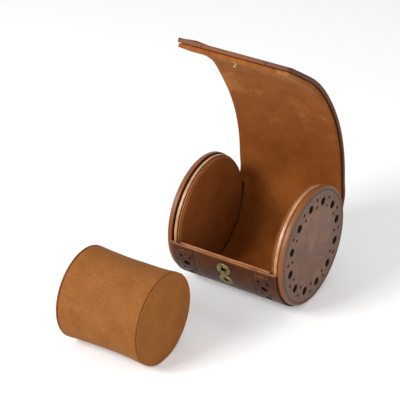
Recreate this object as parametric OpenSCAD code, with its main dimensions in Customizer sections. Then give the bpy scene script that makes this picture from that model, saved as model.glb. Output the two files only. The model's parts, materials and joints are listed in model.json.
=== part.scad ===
// Leather watch travel case: a cylindrical roll with an open, curling lid flap,
// and the soft watch cuff that is taken out of it and stands beside it.
// Origin: on the table, under the middle of the roll's axis. The axis runs along X.

/* [Roll] */
// Overall length of the roll, over both end discs
roll_length = 83.4; // [76:0.2:96]
// Outer radius of the leather wrapped round the roll
wrap_r = 40.3; // [39.9:0.1:41.5]
// Depth of the flat on which the wrap rests
rest_flat = 0.4; // [0.2:0.1:0.8]

/* [End caps] */
// Step from the wrapped leather down to the outer leather disc
disc_step = 1.3; // [0.8:0.1:1.8]
// Thickness of the outer disc at its edge
disc_t = 3.1; // [2.8:0.1:3.6]
// Radius of the rounded edge of the outer disc
disc_round = 1.4; // [0.6:0.1:1.6]
// Thickness of the leather skin on the outer disc
skin_t = 1.2; // [0.8:0.1:1.4]
// Thickness of the black backing behind the perforations
backing_t = 0.4; // [0.2:0.1:0.6]
// Width of the dark groove between the outer disc and the rim
neck_w = 1.2; // [0.8:0.1:2]
// Depth of that groove below the rim
neck_depth = 1.2; // [0.6:0.1:2]
// Width of the tan rim
rim_w = 3.5; // [3:0.1:4.5]
// Radius of the rounded edges of the rim
rim_round = 1.5; // [0.5:0.1:1.7]
// Depth of the rim ring, from its edge in to the core
rim_depth = 8.4; // [5.4:0.5:14.4]
// Distance of the suede pad's edge from the rim's edge
pad_step = 1.4; // [1:0.1:3.4]
// Thickness of the suede pad
pad_t = 1.5; // [1.2:0.1:2.5]
// Radius of the rounded edge of the pad
pad_round = 0.8; // [0.3:0.1:1]

/* [Perforation] */
// Diameter of the big holes in the end discs
disc_hole_d = 5.5; // [4:0.1:6]
// Distance of the circle of big holes from the disc's edge
disc_hole_margin = 9.7; // [9:0.1:11]
// Number of big holes in each disc
disc_hole_count = 12; // [8:1:14]
// Diameter of the small holes in the end discs
disc_dot_d = 2.3; // [1.5:0.1:2.6]
// Distance of each small hole from the circle of big holes
disc_dot_offset = 2.6; // [2:0.1:3]
// Turn of the ring of holes
disc_hole_turn = 10.45; // [0:0.05:30]
// Diameter of the big holes in the bands
band_hole_d = 4.6; // [3:0.1:5]
// Diameter of the small holes in the bands
band_dot_d = 2; // [1:0.1:2.4]
// Distance of the middle of each row of holes from the wrap's side
band_hole_inset = 10; // [8.7:0.1:11.2]
// Distance of each small hole from the middle of its band
band_dot_offset = 3.2; // [2.4:0.1:3.6]
// Width of each band, from the wrap's side to its seam
band_w = 16.6; // [15.7:0.1:18.2]
// Spacing of the pattern along the bands
band_pitch = 12; // [10:0.1:14]
// Distance of the first pair of small holes from the front edge
band_first = 8.4; // [6:0.1:10]

/* [Body shell] */
// Gap between the wrap's sides and the outer discs
wrap_gap = 0.4; // [0.2:0.1:1.6]
// Distance of the shell's front edge below the roll's axis
front_drop = 2.5; // [1:0.1:5]
// Thickness of the shell's outer leather
leather_t = 1.2; // [0.8:0.1:1.3]
// Thickness of the stiff board between the leather and the rims
board_t = 0.65; // [0.5:0.05:1.2]
// Thickness of the suede lining between the pads
lining_t = 2.1; // [1.4:0.1:3]
// Gap between the shell's width and the seam with each band
seam_gap = 0.1; // [0.05:0.05:0.3]

/* [Lid] */
// Distance by which the lid's first bend lies behind the wrap
bend_back = 0.9; // [0.5:0.1:2.7]
// Height of the lid's first bend above the roll's axis
bend_z = 10.8; // [9:0.1:13]
// Direction of the lid at its first bend, from the table, backwards and up
lid_lean = 86; // [84:0.5:92]
// Length of each of the four curved panels of the lid
panel_l = 29.7; // [27:0.1:31]
// Length of the lid's flat end panel
end_l = 26.5; // [24:0.1:31]
// Curl of each curved panel
panel_curl = 15; // [12:0.5:18]
// Curl of the end panel
end_curl = 2; // [1:0.5:6]
// Whole thickness of the lid
lid_t = 5.4; // [4.6:0.1:6]
// Thickness of the lid's suede lining panel
lid_lining_t = 2.4; // [1.8:0.1:2.6]
// Thickness of the dark filler between the lid's layers
lid_core_t = 0.6; // [0.4:0.1:0.8]
// Distance of the lining panel's side from the leather's side
lining_inset = 1; // [0.5:0.1:2]
// Distance of the filler's side from the leather's side
core_inset = 2; // [1.2:0.1:3]
// Radius of the lid's two free corners
corner_r = 3; // [2.5:0.5:12]
// Gap between neighbouring panels at the lid's bends
bend_gap = 0.3; // [0.2:0.05:0.4]

/* [Fastening] */
// Height of the stud's knob above the lining
stud_h = 3; // [2.4:0.1:3.2]
// Diameter of the stud's knob
stud_d = 2; // [1.6:0.1:2.2]
// Diameter of the stud's collar on the lining
stud_collar_d = 4; // [3:0.1:5]
// Height of the stud's collar
stud_collar_h = 0.3; // [0.2:0.1:0.4]
// Distance of the stud from the lid's free edge
stud_from_edge = 5.7; // [5:0.1:9]
// Angle of the lower socket below the roll's axis at the front
socket_low = 29.1; // [28:0.1:31]
// Gap between the two socket rings along the leather
socket_gap = 0.46; // [0.3:0.02:1.4]
// Outer diameter of each socket ring
socket_d = 9.6; // [8:0.1:9.8]
// Height of each socket ring above the leather
socket_h = 0.5; // [0.3:0.1:0.6]
// Depth at which each ring is let into the leather
socket_seat = 0.3; // [0.2:0.1:0.5]
// Inner diameter of the sockets
socket_bore = 3.2; // [2.8:0.1:3.4]
// Diameter of the socket's barrel
socket_barrel_d = 5; // [4.4:0.1:5.6]
// Depth of the socket's cup in the lining
socket_cup = 1; // [0.6:0.1:1.2]

/* [Cuff] */
// Length of the watch cuff
cuff_l = 59.2; // [50:0.2:64]
// Height of the cuff
cuff_h = 58.6; // [54:0.1:66]
// Depth of the cuff, front to back
cuff_d = 57.6; // [50:0.1:62]
// Depth by which the cuff's sides are drawn in at the middle
cuff_waist = 2; // [0.5:0.1:3]
// Thickness of the suede sleeve
sleeve_t = 1.4; // [1:0.1:2]
// Thickness of the suede end covers
cover_t = 3.5; // [1:0.1:4.5]
// Width of the seam between the sleeve and the end covers
cuff_seam = 0.2; // [0.1:0.05:0.4]
// Thickness of the cuff's end boards
cuff_board_t = 1.5; // [1:0.1:2.5]
// Place of the cuff along the roll's axis
cuff_x = -30.1; // [-40:0.1:0]
// Place of the cuff in front of the roll
cuff_y = -103.8; // [-120:0.1:-85]
// Turn of the cuff on the table
cuff_turn = 0.5; // [-15:0.5:15]

/* [Hidden] */
$fn = 96;
fit = 0.05;
axis_z = wrap_r - rest_flat;
half_l = roll_length / 2;
disc_x = half_l - disc_t;
rim_x = disc_x - neck_w - rim_w;
pad_x = rim_x - pad_t;
leather_in = wrap_r - leather_t;
board_in = leather_in - board_t;
rim_r = board_in - fit;
rim_hub_r = rim_r - rim_depth;
pad_r = rim_r - pad_step;
disc_r = wrap_r - disc_step;
disc_hole_ring = disc_r - disc_hole_margin;
lining_in = rim_r - lining_t;
band_out = disc_x - wrap_gap;
wrap_w = 2 * band_out;
band_seam_x = band_out - band_w;
band_x = band_out - band_hole_inset;
lining_half = pad_x - fit;
bend = [wrap_r + bend_back, bend_z];
// outer corner of the shell's back, where the first lid panel begins
back_corner = bend + lid_t * [sin(lid_lean), -cos(lid_lean)];
// angle at which the straight back leaves the round wrap
back_angle = atan2(back_corner[1], back_corner[0]) - acos(wrap_r / norm(back_corner));
back_dir = [-sin(back_angle), cos(back_angle)];
back_run = sqrt(norm(back_corner) * norm(back_corner) - wrap_r * wrap_r);
lining_top_angle = -1.5;
lining_top = (rim_r + 2 * fit) * [cos(lining_top_angle), sin(lining_top_angle)];
back_lining_dir = (bend - lining_top) / norm(bend - lining_top);
back_lining_out = [back_lining_dir[1], -back_lining_dir[0]];
lid_leather_in = lid_lining_t + lid_core_t;
lengths = [panel_l, panel_l, panel_l, panel_l, end_l];
curls = [panel_curl, panel_curl, panel_curl, panel_curl, end_curl];
socket_step = (socket_d + socket_gap) / wrap_r * 180 / PI;
socket_angles = [socket_low, socket_low - socket_step];
cuff_z = cuff_h / 2 - rest_flat;
sleeve_l = cuff_l - 2 * (cover_t + cuff_seam);
foam_l = cuff_l - 2 * (cover_t + cuff_seam + cuff_board_t);
big = 200;

// start of lid panel k: bend line, and direction there
function panel_dir(k) = k == 0 ? lid_lean : panel_dir(k - 1) + curls[k - 1];
function panel_rho(k) = lengths[k] / (curls[k] * PI / 180);
function panel_start(k) = k == 0 ? bend : panel_point(k - 1, lengths[k - 1]);
// point of panel k's lining surface at the distance s from its first bend
function panel_angle(k, s) = panel_dir(k) + s / panel_rho(k) * 180 / PI;
function panel_centre(k) = panel_start(k) + panel_rho(k) * [-sin(panel_dir(k)), cos(panel_dir(k))];
function panel_point(k, s) =
    panel_centre(k) + panel_rho(k) * [sin(panel_angle(k, s)), -cos(panel_angle(k, s))];

// ---- helpers ----

// a flat outline in the plane across the roll, pulled out along X and centred
module along_x(w) {
    translate([0, 0, axis_z])
        rotate([90, 0, 90])
            translate([0, 0, -w / 2])
                linear_extrude(w)
                    children();
}

// turns a shape that stands on the axis outwards at the given angle
module outward(angle) {
    translate([0, 0, axis_z])
        rotate([angle - 90, 0, 0])
            children();
}

// everything below the rays to the shell's back and to its front edge
module lower_sector(angle) {
    polygon([
        [0, 0], [0, -front_drop], [-big, -front_drop], [-big, -big], [big, -big],
        big * [cos(angle), sin(angle)]
    ]);
}

// everything beyond the lid's first bend
module beyond_bend() {
    translate(bend)
        rotate(lid_lean)
            translate([-bend_gap / 2, -big])
                square([big, 2 * big]);
}

// a ring sector of the wrap, with a straight back of the same thickness
module wrap_outline(r_in, r_out) {
    t_in = r_in * [cos(back_angle), sin(back_angle)];
    t_out = r_out * [cos(back_angle), sin(back_angle)];
    run = back_run + lid_t;
    difference() {
        union() {
            intersection() {
                difference() {
                    circle(r_out);
                    circle(r_in);
                }
                lower_sector(back_angle);
            }
            polygon([t_in, t_out, t_out + run * back_dir, t_in + run * back_dir]);
        }
        beyond_bend();
        translate([-big, -big - wrap_r + rest_flat])
            square([2 * big, big]);
    }
}

// one big hole or one pair of small holes of a band, standing outwards
module band_mark(is_hole, x_mid) {
    if (is_hole) {
        translate([x_mid, 0, 0])
            cylinder(d = band_hole_d, h = 2 * lid_t, center = true);
    } else {
        for (side = [-1, 1])
            translate([x_mid + side * band_dot_offset, 0, 0])
                cylinder(d = band_dot_d, h = 2 * lid_t, center = true);
    }
}

// ---- end caps ----

module revolved(side) {
    translate([0, 0, axis_z])
        rotate([0, side * 90, 0])
            rotate_extrude()
                children();
}

module cap_cover(side) {
    color("saddlebrown")
        difference() {
            revolved(side)
                difference() {
                    union() {
                        translate([0, disc_x])
                            square([disc_r - disc_round, disc_t]);
                        translate([0, disc_x])
                            square([disc_r, disc_t - disc_round]);
                        translate([disc_r - disc_round, half_l - disc_round])
                            circle(disc_round);
                    }
                    translate([-1, disc_x - 1])
                        square([disc_r - skin_t + 1, disc_t - skin_t + 1]);
                }
            translate([side * half_l, 0, axis_z])
                for (i = [0 : disc_hole_count - 1])
                    rotate([disc_hole_turn + i * 360 / disc_hole_count, 0, 0]) {
                        translate([0, disc_hole_ring, 0])
                            rotate([0, 90, 0])
                                cylinder(d = disc_hole_d, h = 4 * skin_t, center = true);
                        rotate([180 / disc_hole_count, 0, 0])
                            for (step = [-1, 1])
                                translate([0, disc_hole_ring + step * disc_dot_offset, 0])
                                    rotate([0, 90, 0])
                                        cylinder(d = disc_dot_d, h = 4 * skin_t, center = true);
                    }
        }
}

module cap_backing(side) {
    color("black")
        revolved(side)
            translate([0, half_l - skin_t - backing_t])
                square([disc_r - skin_t - fit, backing_t]);
}

module cap_core(side) {
    color("dimgray")
        revolved(side) {
            translate([0, disc_x])
                square([disc_r - skin_t - fit, disc_t - skin_t - backing_t]);
            translate([0, disc_x - neck_w])
                square([rim_r - neck_depth, neck_w]);
            translate([0, rim_x])
                square([rim_hub_r - fit, rim_w]);
        }
}

module cap_rim(side) {
    color("peru")
        revolved(side)
            difference() {
                union() {
                    translate([0, rim_x])
                        square([rim_r - rim_round, rim_w]);
                    translate([0, rim_x + rim_round])
                        square([rim_r, rim_w - 2 * rim_round]);
                    for (h = [rim_x + rim_round, rim_x + rim_w - rim_round])
                        translate([rim_r - rim_round, h])
                            circle(rim_round);
                }
                translate([-1, rim_x - 1])
                    square([rim_hub_r + 1, rim_w + 2]);
            }
}

module cap_pad(side) {
    color("sienna")
        revolved(side) {
            translate([0, pad_x])
                square([pad_r - pad_round, pad_t]);
            translate([0, pad_x + pad_round])
                square([pad_r, pad_t - pad_round]);
            intersection() {
                translate([pad_r - pad_round, pad_x + pad_round])
                    circle(pad_round);
                translate([0, pad_x])
                    square([pad_r, pad_t]);
            }
        }
}

module cap_right_cover() { cap_cover(1); }
module cap_right_backing() { cap_backing(1); }
module cap_right_core() { cap_core(1); }
module cap_right_rim() { cap_rim(1); }
module cap_right_pad() { cap_pad(1); }
module cap_left_cover() { cap_cover(-1); }
module cap_left_backing() { cap_backing(-1); }
module cap_left_core() { cap_core(-1); }
module cap_left_rim() { cap_rim(-1); }
module cap_left_pad() { cap_pad(-1); }

// ---- body shell ----

// the outer leather of the shell between the bands, let in for the socket rings
module case_leather() {
    color("saddlebrown")
        difference() {
            along_x(2 * band_seam_x - seam_gap)
                wrap_outline(leather_in, wrap_r);
            for (a = socket_angles)
                outward(180 + a) {
                    cylinder(d = socket_barrel_d + 2 * fit, h = big);
                    translate([0, 0, wrap_r - socket_seat])
                        cylinder(d = socket_d + 2 * fit, h = big);
                }
        }
}

// a perforated band round one end of the shell
module case_band(side) {
    w = band_out - band_seam_x - seam_gap / 2;
    front = 180 + asin(front_drop / wrap_r);
    round_run = (360 + back_angle - front) * PI / 180 * wrap_r;
    steps = floor((round_run + back_run - band_first) / (band_pitch / 2));
    color("saddlebrown")
        difference() {
            translate([side * (band_seam_x + seam_gap / 2 + w / 2), 0, 0])
                along_x(w)
                    wrap_outline(leather_in, wrap_r);
            for (i = [0 : steps]) {
                s = band_first + i * band_pitch / 2;
                if (s < round_run) {
                    outward(front + s / wrap_r * 180 / PI)
                        translate([0, 0, wrap_r])
                            band_mark(i % 2 == 1, side * band_x);
                } else if (s < round_run + back_run - band_hole_d) {
                    translate([0, (s - round_run) * back_dir[0], (s - round_run) * back_dir[1]])
                        outward(back_angle)
                            translate([0, 0, wrap_r])
                                band_mark(i % 2 == 1, side * band_x);
                }
            }
        }
}

module case_band_left() { case_band(-1); }
module case_band_right() { case_band(1); }

// the stiff board under the leather, with the wedge that fills the shell's back
module case_board() {
    t_in = leather_in * [cos(back_angle), sin(back_angle)];
    l_out = lid_lining_t * back_lining_out;
    color("dimgray")
        difference() {
            along_x(wrap_w - 2 * core_inset)
                difference() {
                    union() {
                        intersection() {
                            difference() {
                                circle(leather_in);
                                circle(board_in);
                            }
                            lower_sector(back_angle);
                        }
                        difference() {
                            polygon([[0, 0], t_in, t_in + (back_run + lid_t) * back_dir, bend + lid_t * back_lining_dir]);
                            circle(board_in);
                            polygon([
                                [0, 0], lining_top + l_out, bend + l_out + lid_t * back_lining_dir,
                                bend + 3 * lid_t * back_lining_dir - [big, 0]
                            ]);
                        }
                    }
                    beyond_bend();
                }
            for (a = socket_angles)
                outward(180 + a)
                    cylinder(d = socket_barrel_d + 2 * fit, h = big);
        }
}

// the suede lining between the two pads, rising at the back to meet the lid's lining
module case_lining() {
    color("sienna")
        difference() {
            along_x(2 * lining_half)
                union() {
                    intersection() {
                        difference() {
                            circle(rim_r);
                            circle(lining_in);
                        }
                        lower_sector(lining_top_angle);
                    }
                    polygon([
                        (lining_in + lining_t / 8) * [cos(lining_top_angle - 3), sin(lining_top_angle - 3)],
                        (rim_r - lining_t / 8) * [cos(lining_top_angle - 3), sin(lining_top_angle - 3)],
                        bend - bend_gap * back_lining_dir - fit * back_lining_out,
                        bend - bend_gap * back_lining_dir - lining_t / 4 * back_lining_out
                    ]);
                }
            for (a = socket_angles)
                outward(180 + a)
                    translate([0, 0, rim_r - socket_cup])
                        cylinder(d = socket_barrel_d + 2 * fit, h = big);
        }
}

// the lid's lining where it comes down behind the end caps
module back_lining() {
    l_out = lid_lining_t * back_lining_out;
    run = norm(bend - lining_top) + lid_t;
    color("sienna")
        along_x(wrap_w - 2 * lining_inset)
            difference() {
                polygon([
                    lining_top, lining_top + l_out,
                    lining_top + l_out + run * back_lining_dir, lining_top + run * back_lining_dir
                ]);
                beyond_bend();
            }
}

// ---- sockets ----

module socket(a) {
    color("darkgoldenrod")
        outward(180 + a)
            difference() {
                union() {
                    translate([0, 0, wrap_r - socket_seat])
                        cylinder(d = socket_d, h = socket_seat + socket_h / 2);
                    translate([0, 0, wrap_r])
                        cylinder(d = socket_barrel_d + 1, h = socket_h);
                    translate([0, 0, rim_r])
                        cylinder(d = socket_barrel_d, h = wrap_r - rim_r);
                }
                translate([0, 0, rim_r - 1])
                    cylinder(d = socket_bore, h = wrap_r);
            }
}

// the black cup behind a socket, let into the lining
module socket_cup(a) {
    color("black")
        outward(180 + a)
            difference() {
                translate([0, 0, rim_r - socket_cup])
                    cylinder(d = socket_barrel_d, h = socket_cup);
                translate([0, 0, rim_r - socket_cup / 2])
                    cylinder(d = socket_bore, h = socket_cup);
            }
}

module socket_lower() { socket(socket_low); }
module socket_upper() { socket(socket_low - socket_step); }
module socket_cup_lower() { socket_cup(socket_low); }
module socket_cup_upper() { socket_cup(socket_low - socket_step); }

// ---- lid ----

// a layer of lid panel k, between two depths behind the lining's surface
module panel_layer(k, t0, t1, w, inset) {
    rho = panel_rho(k);
    trim = bend_gap / 2 / rho * 180 / PI;
    end_trim = k == len(lengths) - 1 ? inset / rho * 180 / PI : trim;
    a0 = panel_dir(k) - 90 + trim;
    a1 = panel_dir(k) - 90 + curls[k] - end_trim;
    reach = 2 * rho;
    along_x(w)
        translate(panel_centre(k))
            intersection() {
                difference() {
                    circle(rho + t1, $fn = 360);
                    circle(rho + t0, $fn = 360);
                }
                polygon([[0, 0], reach * [cos(a0), sin(a0)], reach * [cos(a1), sin(a1)]]);
            }
}

// moves a shape standing on the XY plane onto panel k's lining, pointing out of the lid
module on_panel(k, s) {
    p = panel_point(k, s);
    translate([0, p[0], axis_z + p[1]])
        rotate([panel_angle(k, s) - 180, 0, 0])
            children();
}

// what is taken off the lid's free corners: the outside of a quarter round in short flats
module corner_cuts(w, inset) {
    r = corner_r - inset;
    k = len(lengths) - 1;
    flats = 10;
    step = 90 / flats;
    reach = r * tan(step / 2) + 3;
    round_points = [for (i = [0 : flats]) r * [cos(i * step), sin(i * step)]];
    outline = concat(
        [round_points[0] + reach * [sin(step / 2), -cos(step / 2)]],
        [for (i = [1 : flats - 1]) round_points[i]],
        [round_points[flats] + reach * [-cos(step / 2), sin(step / 2)]],
        [[-reach, r + reach], [r + reach, r + reach], [r + reach, -reach]]
    );
    on_panel(k, end_l - inset)
        for (side = [-1, 1])
            translate([side * (w / 2 - r), r, -lid_t])
                linear_extrude(3 * lid_t)
                    polygon([for (q = outline) [side * q[0], -q[1]]]);
}

module lid_leather(k) {
    offset_s = k % 2 == 0 ? 0 : 0.5;
    pitch = panel_l / 2.5;
    color("saddlebrown")
        difference() {
            panel_layer(k, lid_leather_in, lid_t, wrap_w, 0);
            for (i = [0 : 5]) {
                s = (0.25 + i / 2) * pitch;
                if (s < lengths[k] - band_hole_d / 2)
                    on_panel(k, s)
                        translate([0, 0, lid_t])
                            for (side = [-1, 1])
                                band_mark((i + k) % 2 == 1, side * band_x);
            }
            if (k == len(lengths) - 1)
                corner_cuts(wrap_w, 0);
        }
}

module lid_core(k) {
    color("dimgray")
        difference() {
            panel_layer(k, lid_lining_t, lid_leather_in, wrap_w - 2 * core_inset, core_inset);
            if (k == len(lengths) - 1) {
                corner_cuts(wrap_w - 2 * core_inset, core_inset);
                on_panel(k, end_l - stud_from_edge)
                    cylinder(d = stud_collar_d + 2 * fit, h = lid_t);
            }
        }
}

module lid_lining(k) {
    color("sienna")
        difference() {
            panel_layer(k, 0, lid_lining_t, wrap_w - 2 * lining_inset, lining_inset);
            if (k == len(lengths) - 1) {
                corner_cuts(wrap_w - 2 * lining_inset, lining_inset);
                on_panel(k, end_l - stud_from_edge)
                    cylinder(d = stud_d + 2 * fit, h = 4 * lid_t, center = true);
            }
        }
}

module lid_leather_1() { lid_leather(0); }
module lid_leather_2() { lid_leather(1); }
module lid_leather_3() { lid_leather(2); }
module lid_leather_4() { lid_leather(3); }
module lid_leather_5() { lid_leather(4); }
module lid_core_1() { lid_core(0); }
module lid_core_2() { lid_core(1); }
module lid_core_3() { lid_core(2); }
module lid_core_4() { lid_core(3); }
module lid_core_5() { lid_core(4); }
module lid_lining_1() { lid_lining(0); }
module lid_lining_2() { lid_lining(1); }
module lid_lining_3() { lid_lining(2); }
module lid_lining_4() { lid_lining(3); }
module lid_lining_5() { lid_lining(4); }

// the brass stud, from its collar on the lining down to its knob
module stud() {
    color("gold")
        on_panel(len(lengths) - 1, end_l - stud_from_edge) {
            translate([0, 0, -stud_h])
                cylinder(d = stud_d, h = stud_h + lid_lining_t);
            translate([0, 0, -stud_collar_h])
                cylinder(d = stud_collar_d, h = stud_collar_h);
        }
}

// the rivet plate that holds the stud behind the lining
module stud_base() {
    color("gold")
        on_panel(len(lengths) - 1, end_l - stud_from_edge)
            translate([0, 0, lid_lining_t])
                cylinder(d = stud_collar_d, h = lid_core_t);
}

// ---- cuff ----

module cuff_place() {
    translate([cuff_x, cuff_y, cuff_z])
        rotate([0, 0, cuff_turn])
            children();
}

// everything under the table
module under_table() {
    translate([-big, -big - cuff_y, -big - cuff_z])
        cube([2 * big, 2 * big, big]);
}

// how far the side is drawn in, at the share t of the half length from the middle
function waist_at(t) = cuff_waist * (1 - t * t);

// the cuff's swept body, shrunk by inset, with its waist
module cuff_body(l, inset) {
    n = 48;
    m = 10;
    ring = [for (j = [0 : m]) for (i = [0 : n - 1])
        let (
            t = 2 * j / m - 1,
            a = cuff_d / 2 - inset - waist_at(t * l / cuff_l),
            b = cuff_h / 2 - inset - waist_at(t * l / cuff_l),
            q = (i + 0.5) * 360 / n
        )
        [t * l / 2, a * sin(q), -b * cos(q)]];
    sides = [for (j = [0 : m - 1]) for (i = [0 : n - 1])
        let (p = j * n + i, q = j * n + (i + 1) % n)
        each [[p, p + n, q], [q, p + n, q + n]]];
    first = [for (i = [1 : n - 2]) [0, i, i + 1]];
    last = [for (i = [1 : n - 2]) [m * n, m * n + i + 1, m * n + i]];
    polyhedron(points = ring, faces = concat(sides, first, last));
}

// a flat oval across the cuff, at the share of its length where x lies
module cuff_oval(x, thick, inset) {
    n = 48;
    a = cuff_d / 2 - inset;
    b = cuff_h / 2 - inset;
    translate([x, 0, 0])
        rotate([90, 0, 90])
            linear_extrude(thick)
                polygon([for (i = [0 : n - 1]) let (q = (i + 0.5) * 360 / n) [a * sin(q), -b * cos(q)]]);
}

module cuff_sleeve() {
    color("chocolate")
        cuff_place()
            difference() {
                cuff_body(sleeve_l, 0);
                cuff_body(cuff_l, sleeve_t);
                under_table();
            }
}

module cuff_foam() {
    color("wheat")
        cuff_place()
            cuff_body(foam_l, sleeve_t + 2 * fit);
}

module cuff_board(side) {
    x = foam_l / 2 + fit;
    color("burlywood")
        cuff_place()
            cuff_oval(side > 0 ? x : -x - cuff_board_t, cuff_board_t, sleeve_t + 2 * cuff_waist / 4);
}

module cuff_cover(side) {
    x = sleeve_l / 2 + cuff_seam;
    color("sienna")
        cuff_place()
            difference() {
                union() {
                    cuff_oval(side > 0 ? x : -x - cover_t, cover_t, 0);
                    cuff_oval(side > 0 ? foam_l / 2 + cuff_board_t + fit : -x, x - foam_l / 2 - cuff_board_t - fit, sleeve_t + 2 * cuff_waist / 4);
                }
                under_table();
            }
}

module cuff_board_left() { cuff_board(-1); }
module cuff_board_right() { cuff_board(1); }
module cuff_cover_left() { cuff_cover(-1); }
module cuff_cover_right() { cuff_cover(1); }

cap_right_cover();
cap_right_backing();
cap_right_core();
cap_right_rim();
cap_right_pad();
cap_left_cover();
cap_left_backing();
cap_left_core();
cap_left_rim();
cap_left_pad();
case_leather();
case_band_left();
case_band_right();
case_board();
case_lining();
back_lining();
socket_lower();
socket_upper();
socket_cup_lower();
socket_cup_upper();
lid_leather_1();
lid_core_1();
lid_lining_1();
lid_leather_2();
lid_core_2();
lid_lining_2();
lid_leather_3();
lid_core_3();
lid_lining_3();
lid_leather_4();
lid_core_4();
lid_lining_4();
lid_leather_5();
lid_core_5();
lid_lining_5();
stud();
stud_base();
cuff_sleeve();
cuff_foam();
cuff_board_left();
cuff_board_right();
cuff_cover_left();
cuff_cover_right();
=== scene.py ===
"""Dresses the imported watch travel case: an open leather roll with a curling lid, and its suede cuff.

Lengths in the classes are millimetres, and become metres where a mesh is made. +X runs along the roll, -Y is
the front, where the sockets are, and +Z is up. The roll's axis lies over the origin.
"""

import json
import logging
import math
from contextlib import contextmanager
from dataclasses import dataclass, field, replace
from enum import Enum
from typing import Callable, Iterator, Optional, Sequence

import bpy
from mathutils import Matrix, Vector, noise

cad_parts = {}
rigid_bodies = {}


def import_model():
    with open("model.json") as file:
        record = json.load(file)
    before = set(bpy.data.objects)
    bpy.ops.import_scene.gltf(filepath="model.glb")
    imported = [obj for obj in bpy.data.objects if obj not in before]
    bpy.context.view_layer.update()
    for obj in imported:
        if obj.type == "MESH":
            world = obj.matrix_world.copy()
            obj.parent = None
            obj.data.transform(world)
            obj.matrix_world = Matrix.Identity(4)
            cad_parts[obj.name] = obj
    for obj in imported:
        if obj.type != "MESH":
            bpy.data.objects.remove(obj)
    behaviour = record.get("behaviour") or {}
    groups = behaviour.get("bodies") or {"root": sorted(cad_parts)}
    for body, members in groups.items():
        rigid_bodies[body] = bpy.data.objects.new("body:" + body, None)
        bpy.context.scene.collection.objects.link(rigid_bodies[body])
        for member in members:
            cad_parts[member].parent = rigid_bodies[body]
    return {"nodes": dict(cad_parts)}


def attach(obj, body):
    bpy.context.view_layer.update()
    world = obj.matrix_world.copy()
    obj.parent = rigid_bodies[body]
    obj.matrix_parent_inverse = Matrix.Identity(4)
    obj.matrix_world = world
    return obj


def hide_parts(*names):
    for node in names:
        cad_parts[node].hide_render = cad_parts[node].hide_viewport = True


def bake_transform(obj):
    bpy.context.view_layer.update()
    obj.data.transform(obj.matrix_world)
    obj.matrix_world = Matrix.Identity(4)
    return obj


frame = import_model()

Point = tuple[float, float]
Triple = tuple[float, float, float]
Piece = bpy.types.Object
Socket = bpy.types.NodeSocket

LOG = logging.getLogger("watch_case")
MM = 0.001
AXIS_Z = 39.9
FLOOR_GAP = 0.02  # how far above the floor the lowest points stay
SAME_PLACE = 1e-6  # points nearer to each other than this, in metres, are one
HALF_WIDTH = 38.2  # half the width of the wrap and the lid
LINE_R, OUTER_LINE_R = 36.4, 37.45  # the lines pressed into the end discs
HOLE_UV = (0.1, 0.1)  # marks the walls of punched holes, which lie nowhere on the uncut sheet
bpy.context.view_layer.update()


# ---- modelling helpers ----


def deselect_all() -> None:
    """Leaves object mode with nothing selected."""
    if bpy.context.object is not None and bpy.context.object.mode != "OBJECT":
        bpy.ops.object.mode_set(mode="OBJECT")
    bpy.ops.object.select_all(action="DESELECT")


def make_active(piece: Piece) -> None:
    """Selects one piece alone and makes it the active one.

    Args:
        piece: The object to work on.
    """
    deselect_all()
    piece.select_set(True)
    bpy.context.view_layer.objects.active = piece


def apply_modifiers(piece: Piece) -> None:
    """Applies every modifier of a piece, in order.

    Args:
        piece: The object whose modifiers are applied.
    """
    make_active(piece)
    for modifier in list(piece.modifiers):
        bpy.ops.object.modifier_apply(modifier=modifier.name)


def place(piece: Piece, matrix: Matrix) -> None:
    """Moves a piece's mesh, and leaves its object at the origin.

    Args:
        piece: The object to place.
        matrix: Where it goes, in metres.
    """
    piece.matrix_world = matrix
    make_active(piece)
    bpy.ops.object.transform_apply(location=True, rotation=True, scale=True)


@contextmanager
def editing(piece: Piece) -> Iterator[None]:
    """Edit mode with all of a piece selected, and object mode again afterwards.

    Args:
        piece: The object to edit.
    """
    make_active(piece)
    bpy.ops.object.mode_set(mode="EDIT")
    bpy.ops.mesh.select_all(action="SELECT")
    yield
    bpy.ops.object.mode_set(mode="OBJECT")


def face_outwards(piece: Piece) -> None:
    """Lets Blender turn every face of a closed piece outwards.

    On the cuff's two flat ends Blender takes the wrong side, so their faces point inwards.

    Args:
        piece: The object to turn.
    """
    with editing(piece):
        bpy.ops.mesh.normals_make_consistent(inside=False)


def weld(piece: Piece) -> None:
    """Merges points that lie on top of each other, so the mesh stays closed.

    Args:
        piece: The closed piece.
    """
    with editing(piece):
        bpy.ops.mesh.remove_doubles(threshold=SAME_PLACE)


def newest(name: str) -> Piece:
    """Names the object that was just added, and applies its turn and place.

    Args:
        name: The object's and its mesh's name.

    Returns:
        The object.
    """
    piece = bpy.context.object
    piece.name = piece.data.name = name
    bpy.ops.object.transform_apply(location=True, rotation=True, scale=True)
    return piece

def shade(piece: Piece, angle: float = 35.0) -> None:
    """Shades a piece smooth, with the edges sharper than an angle left crisp.

    Args:
        piece: The object to shade.
        angle: The angle in degrees.
    """
    make_active(piece)
    bpy.ops.object.shade_smooth_by_angle(angle=math.radians(angle))


def dress(piece: Piece, material: bpy.types.Material) -> None:
    """Gives a piece its only material.

    Args:
        piece: The object to dress.
        material: The finish.
    """
    piece.data.materials.clear()
    piece.data.materials.append(material)


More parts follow.
